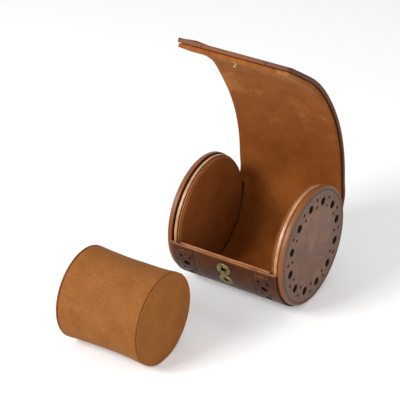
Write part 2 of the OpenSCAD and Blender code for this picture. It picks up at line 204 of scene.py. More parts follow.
def turned(name: str, profile: Sequence[Point], sides: int = 128) -> Piece:
    """Turns a closed profile round the Z axis by extruding and scaling a circle, ring after ring.

    Args:
        name: The new object's name.
        profile: Radius and height of each ring in millimetres. A radius of 0 closes the shape at its pole.
        sides: Corners of each ring.

    Returns:
        The closed piece, standing at the origin.
    """
    deselect_all()
    closed_start = profile[0][0] <= 0
    rings = list(profile[1:] if closed_start else profile)
    start = profile[0] if closed_start else rings[0]
    bpy.ops.mesh.primitive_circle_add(
        vertices=sides, radius=rings[0][0] * MM, fill_type="TRIFAN" if closed_start else "NOTHING",
        location=(0, 0, rings[0][1] * MM))
    piece = newest(name)
    bpy.ops.object.mode_set(mode="EDIT")
    bpy.ops.mesh.select_mode(type="VERT")
    if closed_start:
        bpy.ops.object.mode_set(mode="OBJECT")
        for vertex in piece.data.vertices:
            vertex.select = math.hypot(vertex.co.x, vertex.co.y) > 0.5 * rings[0][0] * MM
            if not vertex.select:
                vertex.co.z = start[1] * MM
        bpy.ops.object.mode_set(mode="EDIT")
        bpy.ops.mesh.select_mode(type="EDGE")
    else:
        bpy.ops.mesh.select_all(action="SELECT")
    radius, height = rings[0]
    for new_radius, new_height in rings[1:]:
        bpy.ops.mesh.extrude_region_move(TRANSFORM_OT_translate={"value": (0, 0, (new_height - height) * MM)})
        if new_radius <= 0:
            bpy.ops.mesh.merge(type="CENTER")
            break
        scale = new_radius / radius
        bpy.ops.transform.resize(value=(scale, scale, 1), center_override=(0, 0, new_height * MM))
        radius, height = new_radius, new_height
    bpy.ops.object.mode_set(mode="OBJECT")
    face_outwards(piece)
    return piece


def round_corner(centre: Point, radius: float, first: float, last: float, steps: int = 6) -> list[Point]:
    """Points of an arc of a profile.

    Args:
        centre: The arc's centre.
        radius: Its radius.
        first: Its first angle in degrees.
        last: Its last angle in degrees.
        steps: The number of its straight pieces.

    Returns:
        The arc's points, both ends included.
    """
    angles = [math.radians(first + (last - first) * i / steps) for i in range(steps + 1)]
    return [(centre[0] + radius * math.cos(a), centre[1] + radius * math.sin(a)) for a in angles]


def clamped(value: float) -> float:
    """The value, kept between 0 and 1."""
    return min(max(value, 0.0), 1.0)


def ease(value: float) -> float:
    """A smooth step from 0 to 1."""
    value = clamped(value)
    return value * value * (3 - 2 * value)


def hump(value: float, middle: float, width: float) -> float:
    """A bell of height 1 round a middle."""
    return math.exp(-((value - middle) / width) ** 2)


def punch_set(name: str, marks: Sequence[tuple[Vector, Vector, float]], depth: float,
              sides: int = 20) -> Piece:
    """Makes the punches that cut round holes, all in one mesh. Holes up to 3 mm have 14 sides.

    Args:
        name: The new object's name.
        marks: Centre in millimetres, direction and diameter of each hole.
        depth: Length of each punch in millimetres, half of it on either side of the centre.
        sides: Corners of each larger punch.

    Returns:
        The object that holds every punch.
    """
    deselect_all()
    bpy.ops.object.add(type="MESH", location=(0, 0, 0))
    punch = bpy.context.object
    punch.name = name
    bpy.ops.object.mode_set(mode="EDIT")
    for centre, direction, diameter in marks:
        bpy.ops.mesh.primitive_cylinder_add(
            vertices=sides if diameter > 3 else 14, radius=diameter / 2 * MM, depth=depth * MM,
            location=centre * MM, rotation=direction.to_track_quat("Z", "X").to_euler())
    bpy.ops.object.mode_set(mode="OBJECT")
    for loop in punch.data.uv_layers.active.data:
        loop.uv = HOLE_UV
    return punch


def cut_holes(piece: Piece, punch: Piece) -> None:
    """Cuts the punches out of a piece and removes them.

    Args:
        piece: The closed piece.
        punch: The object that holds the punches.
    """
    modifier = piece.modifiers.new("holes", "BOOLEAN")
    modifier.operation = "DIFFERENCE"
    modifier.solver = "EXACT"
    modifier.object = punch
    apply_modifiers(piece)
    bpy.data.objects.remove(punch, do_unlink=True)


def bevel_sharp(piece: Piece, radius: float, segments: int, sharp: float,
                chosen: Callable[[int, int], bool]) -> None:
    """Rounds those sharp edges of a piece that are chosen.

    Args:
        piece: The closed piece.
        radius: The bevel's width in millimetres.
        segments: Its number of steps.
        sharp: An edge is sharp when the cosine between its faces' normals is under this.
        chosen: Whether the edge between two points is to be rounded.
    """
    mesh = piece.data
    faces_at: dict[tuple[int, int], list[int]] = {}
    for polygon in mesh.polygons:
        for key in polygon.edge_keys:
            faces_at.setdefault(key, []).append(polygon.index)
    make_active(piece)
    bpy.ops.object.mode_set(mode="EDIT")
    bpy.ops.mesh.select_mode(type="EDGE")
    bpy.ops.mesh.select_all(action="DESELECT")
    bpy.ops.object.mode_set(mode="OBJECT")
    for edge in mesh.edges:
        both = faces_at.get(tuple(sorted(edge.vertices)), [])
        if len(both) == 2 and chosen(*edge.vertices):
            edge.select = mesh.polygons[both[0]].normal.dot(mesh.polygons[both[1]].normal) < sharp
    bpy.ops.object.mode_set(mode="EDIT")
    bpy.ops.mesh.bevel(offset=radius * MM, segments=segments, affect="EDGES", clamp_overlap=True)
    bpy.ops.object.mode_set(mode="OBJECT")


# ---- finishes ----


class Pattern(Enum):
    """What a finish's pattern follows."""

    OBJECT = "object"
    CUT = "cut"


def socket_name(key: str) -> str:
    """A node socket's name from a keyword: specular_ior_level stands for Specular IOR Level."""
    return key.replace("_", " ").title().replace("Ior", "IOR")


class Surface:
    """A node material while it is being put together.

    Args:
        name: The material's name.
    """

    def __init__(self, name: str) -> None:
        self.material = bpy.data.materials.new(name)
        self.material.use_nodes = True
        self.nodes = self.material.node_tree.nodes
        self.nodes.clear()
        output = self.nodes.new("ShaderNodeOutputMaterial")
        self.shader = self.nodes.new("ShaderNodeBsdfPrincipled")
        self.join(self.shader.outputs[0], output.inputs["Surface"])

    def join(self, source: Socket, target: Socket) -> None:
        """Links two sockets."""
        self.material.node_tree.links.new(source, target)

    def feed(self, target: Socket, value: object) -> None:
        """Links a socket to a target, or sets the target to a plain value or a colour."""
        if isinstance(value, Socket):
            self.join(value, target)
        else:
            target.default_value = (*value, 1.0) if target.type == "RGBA" else value

    def add(self, kind: str, **values: object) -> bpy.types.Node:
        """Adds a shader node and feeds the inputs that are named."""
        node = self.nodes.new(f"ShaderNode{kind}")
        for key, value in values.items():
            self.feed(node.inputs[socket_name(key)], value)
        return node

    def place_of(self, pattern: Pattern) -> Socket:
        """The coordinates that the pattern reads, in metres."""
        return self.add("TexCoord").outputs["Object" if pattern is Pattern.OBJECT else "UV"]

    def parts(self, vector: Socket) -> tuple[Socket, ...]:
        """The three parts of a vector."""
        return tuple(self.add("SeparateXYZ", vector=vector).outputs)

    def math(self, operation: str, a: object, b: object = 0.0) -> Socket:
        """A scalar step on one or two values."""
        node = self.add("Math")
        node.operation = operation
        for target, value in zip(node.inputs, (a, b)):
            self.feed(target, value)
        return node.outputs[0]

    def times(self, a: object, b: object) -> Socket:
        """The product of two values."""
        return self.math("MULTIPLY", a, b)

    def size(self, value: Socket) -> Socket:
        """A value without its sign."""
        return self.math("ABSOLUTE", value)

    def away(self, value: Socket, place: float) -> Socket:
        """Distance of a value in metres from a place in millimetres."""
        return self.size(self.math("SUBTRACT", value, place * MM))

    def weighted(self, *terms: tuple[Socket, float]) -> Socket:
        """The sum of values, each times its weight."""
        total = self.times(*terms[0])
        for value, weight in terms[1:]:
            total = self.math("ADD", total, self.times(value, weight))
        return total

    def from_axis(self, vector: Socket) -> Socket:
        """Distance from the roll's axis, in metres."""
        _, y, z = self.parts(vector)
        up = self.math("SUBTRACT", z, AXIS_Z * MM)
        return self.math("SQRT", self.math("ADD", self.times(y, y), self.times(up, up)))

    def stretch(self, vector: Socket, scale: Triple, shift: Triple = (0.0, 0.0, 0.0)) -> Socket:
        """The coordinates moved and scaled."""
        node = self.add("Mapping", vector=vector, location=shift, scale=scale)
        return node.outputs[0]

    def noise(self, vector: Socket, size_mm: float, detail: float = 3.0, roughness: float = 0.55,
              distortion: float = 0.0) -> Socket:
        """Cloudy noise whose lumps are about size_mm across."""
        return self.add("TexNoise", vector=vector, scale=1 / (size_mm * MM), detail=detail,
                        roughness=roughness, distortion=distortion).outputs[0]

    def cells(self, vector: Socket, size_mm: float) -> Socket:
        """Distance to the middle of pebbled cells of about size_mm."""
        return self.add("TexVoronoi", vector=vector, scale=1 / (size_mm * MM)).outputs["Distance"]

    def rise(self, value: Socket, low: float, high: float) -> Socket:
        """0 below low, 1 above high and a smooth step between."""
        node = self.add("MapRange", value=value, from_min=low, from_max=high)
        node.interpolation_type = "SMOOTHSTEP"
        return node.outputs["Result"]

    def spread(self, value: Socket, low: float, high: float) -> Socket:
        """Maps 0..1 onto low..high."""
        return self.add("MapRange", value=value, to_min=low, to_max=high).outputs["Result"]

    def step(self, value: Socket, low: float, high: float, below: float = 0.0, above: float = 1.0) -> Socket:
        """A smooth step between two distances in millimetres, from one value to another."""
        shown = self.rise(value, low * MM, high * MM)
        return shown if (below, above) == (0.0, 1.0) else self.spread(shown, below, above)

    def stripe(self, value: Socket, up: Point, down: Point, top: float) -> Socket:
        """0, then top between two smooth steps at distances in millimetres, then 0 again."""
        return self.times(self.step(value, *up), self.step(value, *down, top, 0.0))

    def mix(self, share: object, first: object, second: object) -> Socket:
        """Mixes two colours."""
        node = self.add("Mix")
        node.data_type = "RGBA"
        for index, value in ((0, share), (6, first), (7, second)):
            self.feed(node.inputs[index], value)
        return node.outputs[2]

    def bump(self, height: Socket, depth_mm: float, strength: float = 1.0,
             under: Optional[Socket] = None) -> Socket:
        """A normal raised by a height of depth_mm."""
        node = self.add("Bump", strength=strength, distance=depth_mm * MM, height=height)
        if under is not None:
            self.join(under, node.inputs["Normal"])
        return node.outputs[0]

    def finish(self, colour: object, roughness: object, normal: Optional[Socket] = None,
               **fixed: object) -> bpy.types.Material:
        """Feeds the shader and returns the material. Fixed values go straight on the shader's sockets."""
        self.feed(self.shader.inputs["Base Color"], colour)
        self.feed(self.shader.inputs["Roughness"], roughness)
        if normal is not None:
            self.join(normal, self.shader.inputs["Normal"])
        for key, value in fixed.items():
            self.feed(self.shader.inputs[socket_name(key)], value)
        return self.material


@dataclass(frozen=True)
class WaxedStrip:
    """Waxed dark leather of the wrap and the lid, burnished to a lighter brown at its cut edges.

    Its coordinates are the cut's own: across the roll, and along from the front edge. The shell's part, up to
    shell_end, shows its cut edge as a pale line, with a dark line of painted shade outside it where it meets
    the end caps. The walls of the punched holes get the same dark colour, as painted shade in the holes.
    """

    run: float
    deep: Triple = (0.046, 0.0135, 0.0042)
    worn: Triple = (0.092, 0.0275, 0.0090)
    edge: Triple = (0.172, 0.048, 0.0075)
    # painted shade: the dark colour of the hole walls and of the line by the end caps
    hole: Triple = (0.016, 0.008, 0.005)
    shell_end: Point = (105, 120)
    edge_starts: Point = (36.9, 37.15)
    edge_stops: Point = (37.45, 37.65)
    # where the painted shade runs along the shell, beside the end caps
    gap: Point = (37.6, 37.8)
    hole_walls: Point = (60, 70)

    def build(self) -> bpy.types.Material:
        """Makes the material."""
        s = Surface("waxed_leather_strip")
        cut = s.place_of(Pattern.CUT)
        across, along, _ = s.parts(cut)
        width = s.size(across)
        cloud = s.noise(cut, 16, 4, 0.6)
        streak = s.noise(s.stretch(cut, (1.0, 0.35, 1.0)), 3.2, 3, 0.6)
        body = s.mix(s.rise(s.weighted((cloud, 0.65), (streak, 0.35)), 0.38, 0.64), self.deep, self.worn)
        side = s.step(width, HALF_WIDTH - 1.0, HALF_WIDTH - 0.2)
        front = s.step(along, 0.3, 1.8, 1.0, 0.0)
        ends = s.math("MAXIMUM", front, s.step(along, self.run - 0.9, self.run - 0.1))
        rubbed = s.times(s.spread(s.noise(cut, 5, 3), 0.55, 1.2), ends)
        rubbed = s.times(rubbed, s.step(across, 8, 30, 1.0, 0.45))
        shown = s.math("MAXIMUM", rubbed, s.times(side, 0.28))
        colour = s.mix(s.math("MINIMUM", shown, 1.0), body, self.edge)
        shell = s.step(along, *self.shell_end, 1.0, 0.0)
        cut_edge = s.stripe(width, self.edge_starts, self.edge_stops, 0.6)
        colour = s.mix(s.times(cut_edge, shell), colour, self.edge)
        # painted shade in the gap where the shell meets the end caps
        colour = s.mix(s.times(s.step(width, *self.gap), shell), colour, self.hole)
        # painted shade on the walls of the punched holes
        colour = s.mix(s.step(across, *self.hole_walls), colour, self.hole)
        normal = s.bump(s.cells(cut, 0.75), 0.05, 0.5)
        normal = s.bump(s.noise(cut, 4.5, 3), 0.22, 0.5, normal)
        return s.finish(colour, s.spread(cloud, 0.36, 0.52), normal,
                        specular_ior_level=0.13, coat_weight=0.015, coat_roughness=0.25)


@dataclass(frozen=True)
class WaxedDisc:
    """Waxed dark leather of the end discs: browner outside the inner pressed line, greyer in the middle."""

    deep: Triple = (0.126, 0.056, 0.030)
    worn: Triple = (0.236, 0.110, 0.061)
    rand: Triple = (0.250, 0.078, 0.018)
    burnt: Triple = (0.070, 0.029, 0.015)
    # painted highlight: the lighter colour of the ridges beside the pressed lines
    ridge_highlight: Triple = (0.300, 0.155, 0.095)
    # painted shade: the dark colour of the pressed lines and the hole walls
    hole: Triple = (0.012, 0.0065, 0.004)
    # painted shade: the dark colour of the disc's back edge, beside the rim
    inside: Triple = (0.026, 0.011, 0.006)
    face: Point = (40.3, 41.4)
    hole_walls: Point = (41.1, 41.5)
    hole_zone: Point = (35.6, 36.2)
    back_edge: Point = (38.2, 38.5)
    stitch_waves: float = 62.0

    def build(self) -> bpy.types.Material:
        """Makes the material."""
        s = Surface("waxed_leather_disc")
        spot = s.place_of(Pattern.OBJECT)
        x, y, z = s.parts(spot)
        radius, depth = s.from_axis(spot), s.size(x)
        cloud = s.noise(spot, 17, 4, 0.6)
        scuff = s.noise(s.stretch(spot, (1.0, 0.5, 1.6)), 3.0, 3, 0.65)
        body = s.mix(s.rise(s.weighted((cloud, 0.7), (scuff, 0.3)), 0.36, 0.66), self.deep, self.worn)
        rim = s.times(s.step(radius, LINE_R + 0.3, LINE_R + 1.6), s.step(depth, *self.face, 1.0, 0.3))
        colour = s.mix(s.times(rim, s.spread(cloud, 0.6, 1.1)), body, self.rand)
        burnt = s.times(s.step(radius, 21, 35), 0.38)
        colour = s.mix(s.times(burnt, s.spread(rim, 1.0, 0.0)), colour, self.burnt)
        gap = s.away(radius, LINE_R)
        # painted highlight on the ridges beside the inner pressed line, and painted shade in the line itself
        colour = s.mix(s.stripe(gap, (0.4, 0.55), (0.75, 0.95), 0.55), colour, self.ridge_highlight)
        colour = s.mix(s.step(gap, 0.2, 0.55, 0.9, 0.0), colour, self.hole)
        outer = s.away(radius, OUTER_LINE_R)
        # the same painted highlight and painted shade at the outer pressed line
        colour = s.mix(s.stripe(outer, (0.3, 0.45), (0.6, 0.8), 0.45), colour, self.ridge_highlight)
        colour = s.mix(s.step(outer, 0.1, 0.4, 0.9, 0.0), colour, self.hole)
        # painted shade on the walls of the holes
        wall = s.times(s.step(depth, *self.hole_walls, 1.0, 0.0), s.step(radius, *self.hole_zone, 1.0, 0.0))
        # painted shade on the disc's back edge, beside the rim
        colour = s.mix(s.step(depth, *self.back_edge, 0.95, 0.0), colour, self.inside)
        colour = s.mix(wall, colour, self.hole)
        normal = s.bump(s.cells(spot, 0.75), 0.05, 0.45)
        normal = s.bump(s.noise(spot, 5, 3), 0.22, 0.45, normal)
        turn = s.math("ARCTAN2", s.math("SUBTRACT", z, AXIS_Z * MM), y)
        wave = s.size(s.math("SINE", s.times(turn, self.stitch_waves)))
        normal = s.bump(s.times(wave, s.step(gap, 0.1, 0.5, 1.0, 0.0)), 0.25, 0.9, normal)
        return s.finish(colour, s.spread(cloud, 0.34, 0.48), normal,
                        specular_ior_level=0.24, coat_weight=0.02, coat_roughness=0.3)


@dataclass(frozen=True)
class TanLeather:
    """Polished tan leather of the rims and the folded edges, with darker streaks.

    A shaded groove is given as its X and its half width, and is painted dark as painted shade. Where there
    are shaded grooves, the leather inside piping_x is darker.
    """

    name: str = "tan_leather"
    deep: Triple = (0.40, 0.170, 0.058)
    light: Triple = (0.62, 0.295, 0.120)
    gloss: float = 0.25
    polish: float = 0.35
    piping: Triple = (0.300, 0.112, 0.036)
    piping_x: Point = (34.6, 34.85)
    # painted shade: the dark colour in the grooves beside the piping and beside the disc
    groove: Triple = (0.026, 0.010, 0.0045)
    shaded_grooves: tuple[Point, ...] = ()

    def build(self) -> bpy.types.Material:
        """Makes the material."""
        s = Surface(self.name)
        spot = s.place_of(Pattern.OBJECT)
        cloud = s.noise(spot, 9, 4, 0.6)
        fine = s.noise(spot, 1.1, 2)
        colour = s.mix(s.rise(s.weighted((cloud, 0.75), (fine, 0.25)), 0.36, 0.64), self.deep, self.light)
        depth = s.size(s.parts(spot)[0])
        if self.shaded_grooves:
            colour = s.mix(s.step(depth, *self.piping_x, 0.75, 0.0), colour, self.piping)
        # painted shade along each groove
        for seam, wide in self.shaded_grooves:
            colour = s.mix(s.step(s.away(depth, seam), 0.5 * wide, wide, 0.95, 0.0), colour, self.groove)
        normal = s.bump(s.cells(spot, 0.6), 0.03, 0.5)
        normal = s.bump(s.noise(spot, 3.5, 2), 0.16, 0.4, normal)
        return s.finish(colour, s.spread(cloud, self.gloss, self.gloss + 0.14), normal,
                        specular_ior_level=0.2 + self.polish, coat_weight=self.polish, coat_roughness=0.14)


@dataclass(frozen=True)
class Suede:
    """Brushed suede: soft clouds where the nap lies another way, and a fine speckle of fibres."""

    name: str
    pattern: Pattern
    deep: Triple
    light: Triple
    worn: Triple = (0.50, 0.235, 0.085)
    # the colour of the painted shade on the lower part of the lid
    lid_shade_colour: Triple = (0.105, 0.024, 0.0035)
    cloud_mm: float = 17.0
    nap: float = 0.12
    depth: float = 0.2
    rubbed: float = 0.0
    marks_from: Triple = (0.013, 0.004, 0.0)

    def build(self) -> bpy.types.Material:
        """Makes the material."""
        s = Surface(self.name)
        spot = s.place_of(self.pattern)
        cloud = s.noise(spot, self.cloud_mm, 3, 0.5, 0.4)
        brushed = s.noise(s.stretch(spot, (1.0, 0.45, 0.45)), 3.6, 3, 0.6)
        fibre = s.noise(spot, 1.15, 4, 0.75)
        tone = s.weighted((brushed, 0.14), (fibre, 0.46), (cloud, 0.40))
        colour = s.mix(s.rise(tone, 0.5 - self.depth, 0.5 + self.depth), self.deep, self.light)
        speck = s.rise(s.noise(spot, 0.85, 2, 0.6), 0.36, 0.64)
        colour = s.mix(s.spread(speck, 0.24, 0.0), colour, tuple(0.5 * part for part in self.deep))
        # on the lid's lining: painted shade over its lower part, and rub marks
        if self.rubbed:
            marks = s.noise(s.stretch(spot, (1.0, 0.7, 1.0), self.marks_from), 15, 3, 0.5, 0.8)
            along = s.parts(spot)[1]
            # painted shade: darker across the lower part of the lid
            lower_lid_shade = s.stripe(along, (112, 148), (148, 215), 0.40)
            colour = s.mix(lower_lid_shade, colour, self.lid_shade_colour)
            shown = s.times(s.rise(marks, 0.53, 0.68), s.step(along, 150, 200))
            colour = s.mix(s.times(shown, self.rubbed), colour, self.worn)
        normal = s.bump(fibre, 0.09, 0.6)
        normal = s.bump(brushed, 0.10, 0.35, normal)
        return s.finish(colour, 0.92, normal, specular_ior_level=0.05,
                        sheen_weight=self.nap, sheen_roughness=0.45, sheen_tint=(1.0, 0.62, 0.34))


@dataclass(frozen=True)
class AntiqueBrass:
    """Aged brass with brown tarnish in its dished face; its bore is painted black, as painted shade."""

    bright: Triple = (0.40, 0.345, 0.145)
    aged: Triple = (0.19, 0.155, 0.062)

    def build(self) -> bpy.types.Material:
        """Makes the material."""
        s = Surface("antique_brass")
        spot = s.place_of(Pattern.OBJECT)
        cloud = s.noise(spot, 1.6, 3)
        colour = s.mix(s.rise(cloud, 0.38, 0.62), self.aged, self.bright)
        deep = s.nodes.new("ShaderNodeAttribute")
        deep.attribute_name = "deep"
        # painted shade in the socket's bore, and darker tarnish in its dished face
        colour = s.mix(deep.outputs["Fac"], colour, (0.006, 0.005, 0.003))
        normal = s.bump(s.noise(spot, 0.5, 2), 0.015, 0.4)
        return s.finish(colour, s.spread(cloud, 0.34, 0.5), normal, metallic=1.0)


@dataclass(frozen=True)
class BlackFelt:
    """Matt black fibre behind the holes and between the layers."""

    def build(self) -> bpy.types.Material:
        """Makes the material."""
        s = Surface("black_felt")
        spot = s.place_of(Pattern.OBJECT)
        fibre = s.noise(spot, 0.6, 3, 0.7)
        colour = s.mix(fibre, (0.004, 0.0035, 0.003), (0.016, 0.013, 0.011))
        return s.finish(colour, 0.95, s.bump(fibre, 0.08, 0.5), specular_ior_level=0.15)


@dataclass(frozen=True)
class Fibreboard:
    """Dark pressed fibreboard of the hidden cores."""

    def build(self) -> bpy.types.Material:
        """Makes the material."""
        s = Surface("fibreboard")
        spot = s.place_of(Pattern.OBJECT)
        fibre = s.noise(s.stretch(spot, (1.0, 1.0, 0.3)), 1.2, 4, 0.65)
        colour = s.mix(fibre, (0.006, 0.004, 0.003), (0.020, 0.012, 0.008))
        return s.finish(colour, 0.85, s.bump(fibre, 0.08, 0.4), specular_ior_level=0.25)


@dataclass(frozen=True)
class WaxedThread:
    """Twisted tan thread of the small stitches."""

    def build(self) -> bpy.types.Material:
        """Makes the material."""
        s = Surface("waxed_thread")
        spot = s.place_of(Pattern.OBJECT)
        x, y, _ = s.parts(spot)
        twist = s.math("SINE", s.math("MULTIPLY", s.math("ADD", x, y), 9000.0))
        colour = s.mix(s.spread(twist, 0.35, 0.75), (0.15, 0.062, 0.028), (0.34, 0.155, 0.070))
        return s.finish(colour, 0.55, s.bump(twist, 0.05, 0.6), specular_ior_level=0.3)


class Finishes:
    """Every finish of the case, made once.

    Args:
        run: Length of the outer leather from the front edge to the lid's free edge, in millimetres.
    """

    def __init__(self, run: float) -> None:
        lip = ((0.165, 0.060, 0.022), (0.30, 0.118, 0.046), 0.40, 0.04)
        piping = ((0.27, 0.098, 0.030), (0.42, 0.172, 0.060), 0.42, 0.04)
        lining = ((0.213, 0.057, 0.0102), (0.352, 0.112, 0.0238))
        # the pads' suede is darker than the lining's: painted shade of the roll's inside
        pad = ((0.182, 0.047, 0.0076), (0.290, 0.088, 0.0172))
        sleeve = ((0.238, 0.083, 0.0205), (0.315, 0.125, 0.0365))
        cover = ((0.274, 0.096, 0.0226), (0.360, 0.134, 0.0350))
        self.strip = WaxedStrip(run).build()
        self.disc = WaxedDisc().build()
        # grooves of painted shade beside the rim's piping and beside the disc
        self.tan = TanLeather(shaded_grooves=((34.8, 0.42), (37.65, 0.35))).build()
        self.lip = TanLeather("burnished_lip", *lip).build()
        self.piping = TanLeather("tan_piping", *piping).build()
        self.lining = Suede("lining_suede", Pattern.CUT, *lining, depth=0.18, rubbed=0.3).build()
        self.pad = Suede("pad_suede", Pattern.OBJECT, *pad, depth=0.2).build()
        soft = {"nap": 0.1, "depth": 0.17}
        self.sleeve = Suede("cuff_suede", Pattern.OBJECT, *sleeve, cloud_mm=13.0, **soft).build()
        self.cover = Suede("cuff_end_suede", Pattern.OBJECT, *cover, cloud_mm=15.0, **soft).build()
        self.brass = AntiqueBrass().build()
        self.felt = BlackFelt().build()
        self.board = Fibreboard().build()
        self.thread = WaxedThread().build()


# ---- the line that the wrap and the lid follow ----


class Profile:
    """A line across the roll that a sheet follows.

    Args:
        points: Points of the line as (y, z above the roll's axis), in millimetres and in order.
    """

    def __init__(self, points: Sequence[Point]) -> None:
        self.points = [Vector(p) for p in points]
        self.runs = [0.0]
        for a, b in zip(self.points, self.points[1:]):
            self.runs.append(self.runs[-1] + (b - a).length)

    @property
    def length(self) -> float:
        """Length of the whole line."""
        return self.runs[-1]

    def at(self, run: float) -> Vector:
        """The point at a distance along the line, which goes on straight past either end."""
        if run <= 0:
            return self.points[0] + (self.points[1] - self.points[0]).normalized() * run
        if run >= self.length:
            return self.points[-1] + (self.points[-1] - self.points[-2]).normalized() * (run - self.length)
        low, high = 0, len(self.runs) - 1
        while high - low > 1:
            middle = (low + high) // 2
            low, high = (middle, high) if self.runs[middle] <= run else (low, middle)
        share = (run - self.runs[low]) / max(self.runs[high] - self.runs[low], 1e-9)
        return self.points[low].lerp(self.points[high], share)

    def outward(self, run: float) -> Vector:
        """The unit vector that points out of the roll, as (y, z)."""
        heading = (self.at(run + 0.8) - self.at(run - 0.8)).normalized()
        return Vector((heading.y, -heading.x))

    def softened(self, run: float, reach: float) -> "Profile":
        """The line with the corner at a distance along it rounded off.

        Args:
            run: Where the corner is.
            reach: Half the length of line that is averaged at the corner itself.

        Returns:
            The new line.
        """
        points = []
        for distance, point in zip(self.runs, self.points):
            share = abs(distance - run) / (2 * reach)
            if share < 1:
                width = reach * (1 - share * share)
                samples = [self.at(distance + width * k / 6) for k in range(-6, 7)]
                point = sum(samples, Vector((0.0, 0.0))) / len(samples)
            points.append(tuple(point))
        return Profile(points)


def arc_of(start: Vector, heading: float, length: float, curl: float) -> tuple[Vector, float]:
    """The arc that leaves a point and bends to its left.

    Args:
        start: The point.
        heading: The direction there, in radians.
        length: The arc's length.
        curl: Its angle in degrees.

    Returns:
        The arc's centre and radius.
    """
    radius = length / math.radians(curl)
    return start + radius * Vector((-math.sin(heading), math.cos(heading))), radius


def on_arc(centre: Vector, radius: float, heading: float) -> Vector:
    """The point of an arc where it runs in a direction."""
    return centre + radius * Vector((math.sin(heading), -math.cos(heading)))


def round_axis(radius: float, first: float, last: float, step: float) -> list[Point]:
    """Points round the roll's axis, about a step apart, from one angle to another."""
    count = round((last - first) * radius / step)
    angles = [first + (last - first) * i / count for i in range(count + 1)]
    return [(radius * math.cos(a), radius * math.sin(a)) for a in angles]


def straight(first: Vector, last: Vector, step: float) -> list[Point]:
    """Points about a step apart between two points, both left out."""
    count = round((last - first).length / step)
    return [tuple(first.lerp(last, i / count)) for i in range(1, count)]


@dataclass
class LidLine:
    """Sizes of the wrap and the lid across the roll, and the lines that their layers follow."""

    wrap_r: float = 40.3
    lining_r: float = 36.3
    front_drop: float = 2.5
    bend: Point = (41.2, 10.8)
    lean: float = 86.0
    lengths: tuple[float, ...] = (29.7, 29.7, 29.7, 29.7, 26.5)
    curls: tuple[float, ...] = (15.0, 15.0, 15.0, 15.0, 2.0)
    thick: float = 5.4
    bow_height: float = 3.0
    bow_at: float = 105.0
    bow_width: float = 19.0
    tip_lift: float = 0.9
    tip_from: float = 108.0
    tip_over: float = 37.0
    lining_stop: float = 1.5
    leather_fillet: float = 7.0
    lining_fillet: float = 5.0
    underside: float = 0.01
    step: float = 0.6
    pivots: list[Vector] = field(default_factory=list)

    def __post_init__(self) -> None:
        heading = math.radians(self.lean)
        point = Vector(self.bend)
        self.starts: list[tuple[Vector, float]] = []
        for length, curl in zip(self.lengths, self.curls):
            self.starts.append((point.copy(), heading))
            self.pivots.append(point.copy())
            centre, rho = arc_of(point, heading, length, curl)
            heading += math.radians(curl)
            point = on_arc(centre, rho, heading)

    def bow(self, run: float) -> float:
        """How far the soft lid stands out from its panels' plain arcs, at a distance from the first bend."""
        tip = self.tip_lift * ease((run - self.tip_from) / self.tip_over)
        return self.bow_height * hump(run, self.bow_at, self.bow_width) + tip

    def lid_points(self, depth: float) -> tuple[list[Point], list[int]]:
        """Points of the whole lid at a depth behind its lining's surface.

        Args:
            depth: The depth in millimetres.

        Returns:
            The points, and the number of the point at each bend and at the free edge.
        """
        points: list[Point] = []
        marks = [0]
        before = 0.0
        for (start, heading), length, curl in zip(self.starts, self.lengths, self.curls):
            centre, rho = arc_of(start, heading, length, curl)
            count = max(2, round(length / self.step))
            for i in range(1 if points else 0, count + 1):
                out = depth + self.bow(before + length * i / count)
                points.append(tuple(on_arc(centre, rho + out, heading + math.radians(curl) * i / count)))
            marks.append(len(points) - 1)
            before += length
        return points, marks

    def leather(self) -> tuple[Profile, list[float]]:
        """The outer surface from the front edge to the lid's free edge, flat where it rests on the floor.

        Returns:
            The line, and the distance along it to each bend.
        """
        lid, marks = self.lid_points(self.thick)
        corner = Vector(lid[0])
        back = math.atan2(corner.y, corner.x) - math.acos(self.wrap_r / corner.length)
        front = math.pi + math.asin(self.front_drop / self.wrap_r)
        wrap = round_axis(self.wrap_r, front, math.tau + back, self.step)
        wrap = [(y, max(z, self.underside - AXIS_Z)) for y, z in wrap]
        wrap += straight(Vector(wrap[-1]), corner, self.step)
        before = len(wrap)
        line = Profile([*wrap, *lid])
        line = line.softened(line.runs[before], self.leather_fillet)
        return line, [line.runs[before + i] for i in marks]

    def lining(self) -> tuple[Profile, list[float]]:
        """The suede's surface from the front edge, round the inside and up to the lid's free edge.

        Returns:
            The line, and the distance along it to each bend.
        """
        lid, marks = self.lid_points(0.0)
        front = math.pi + math.asin(self.front_drop / self.lining_r)
        back = math.tau - math.radians(self.lining_stop)
        inside = round_axis(self.lining_r, front, back, self.step)
        rising = straight(Vector(inside[-1]), Vector(lid[0]), self.step)
        before = len(inside) + len(rising)
        line = Profile([*inside, *rising, *lid])
        line = line.softened(line.runs[len(inside) - 1], self.lining_fillet)
        line = line.softened(line.runs[before], self.lining_fillet)
        return line, [line.runs[before + i] for i in marks]


# ---- the wrap and the lid ----


class Layer(Enum):
    """A layer of the wrap and the lid."""

    LEATHER = "leather"
    FILLER = "filler"
    LINING = "lining"


@dataclass(frozen=True)
class Strip:
    """One strip of a layer, from the front edge or the first bend to the lid's free edge."""

    name: str
    layer: Layer
    low: Callable[[float], float]
    high: Callable[[float], float]
    thick: float
    round_r: float
    cell: float = 3.0


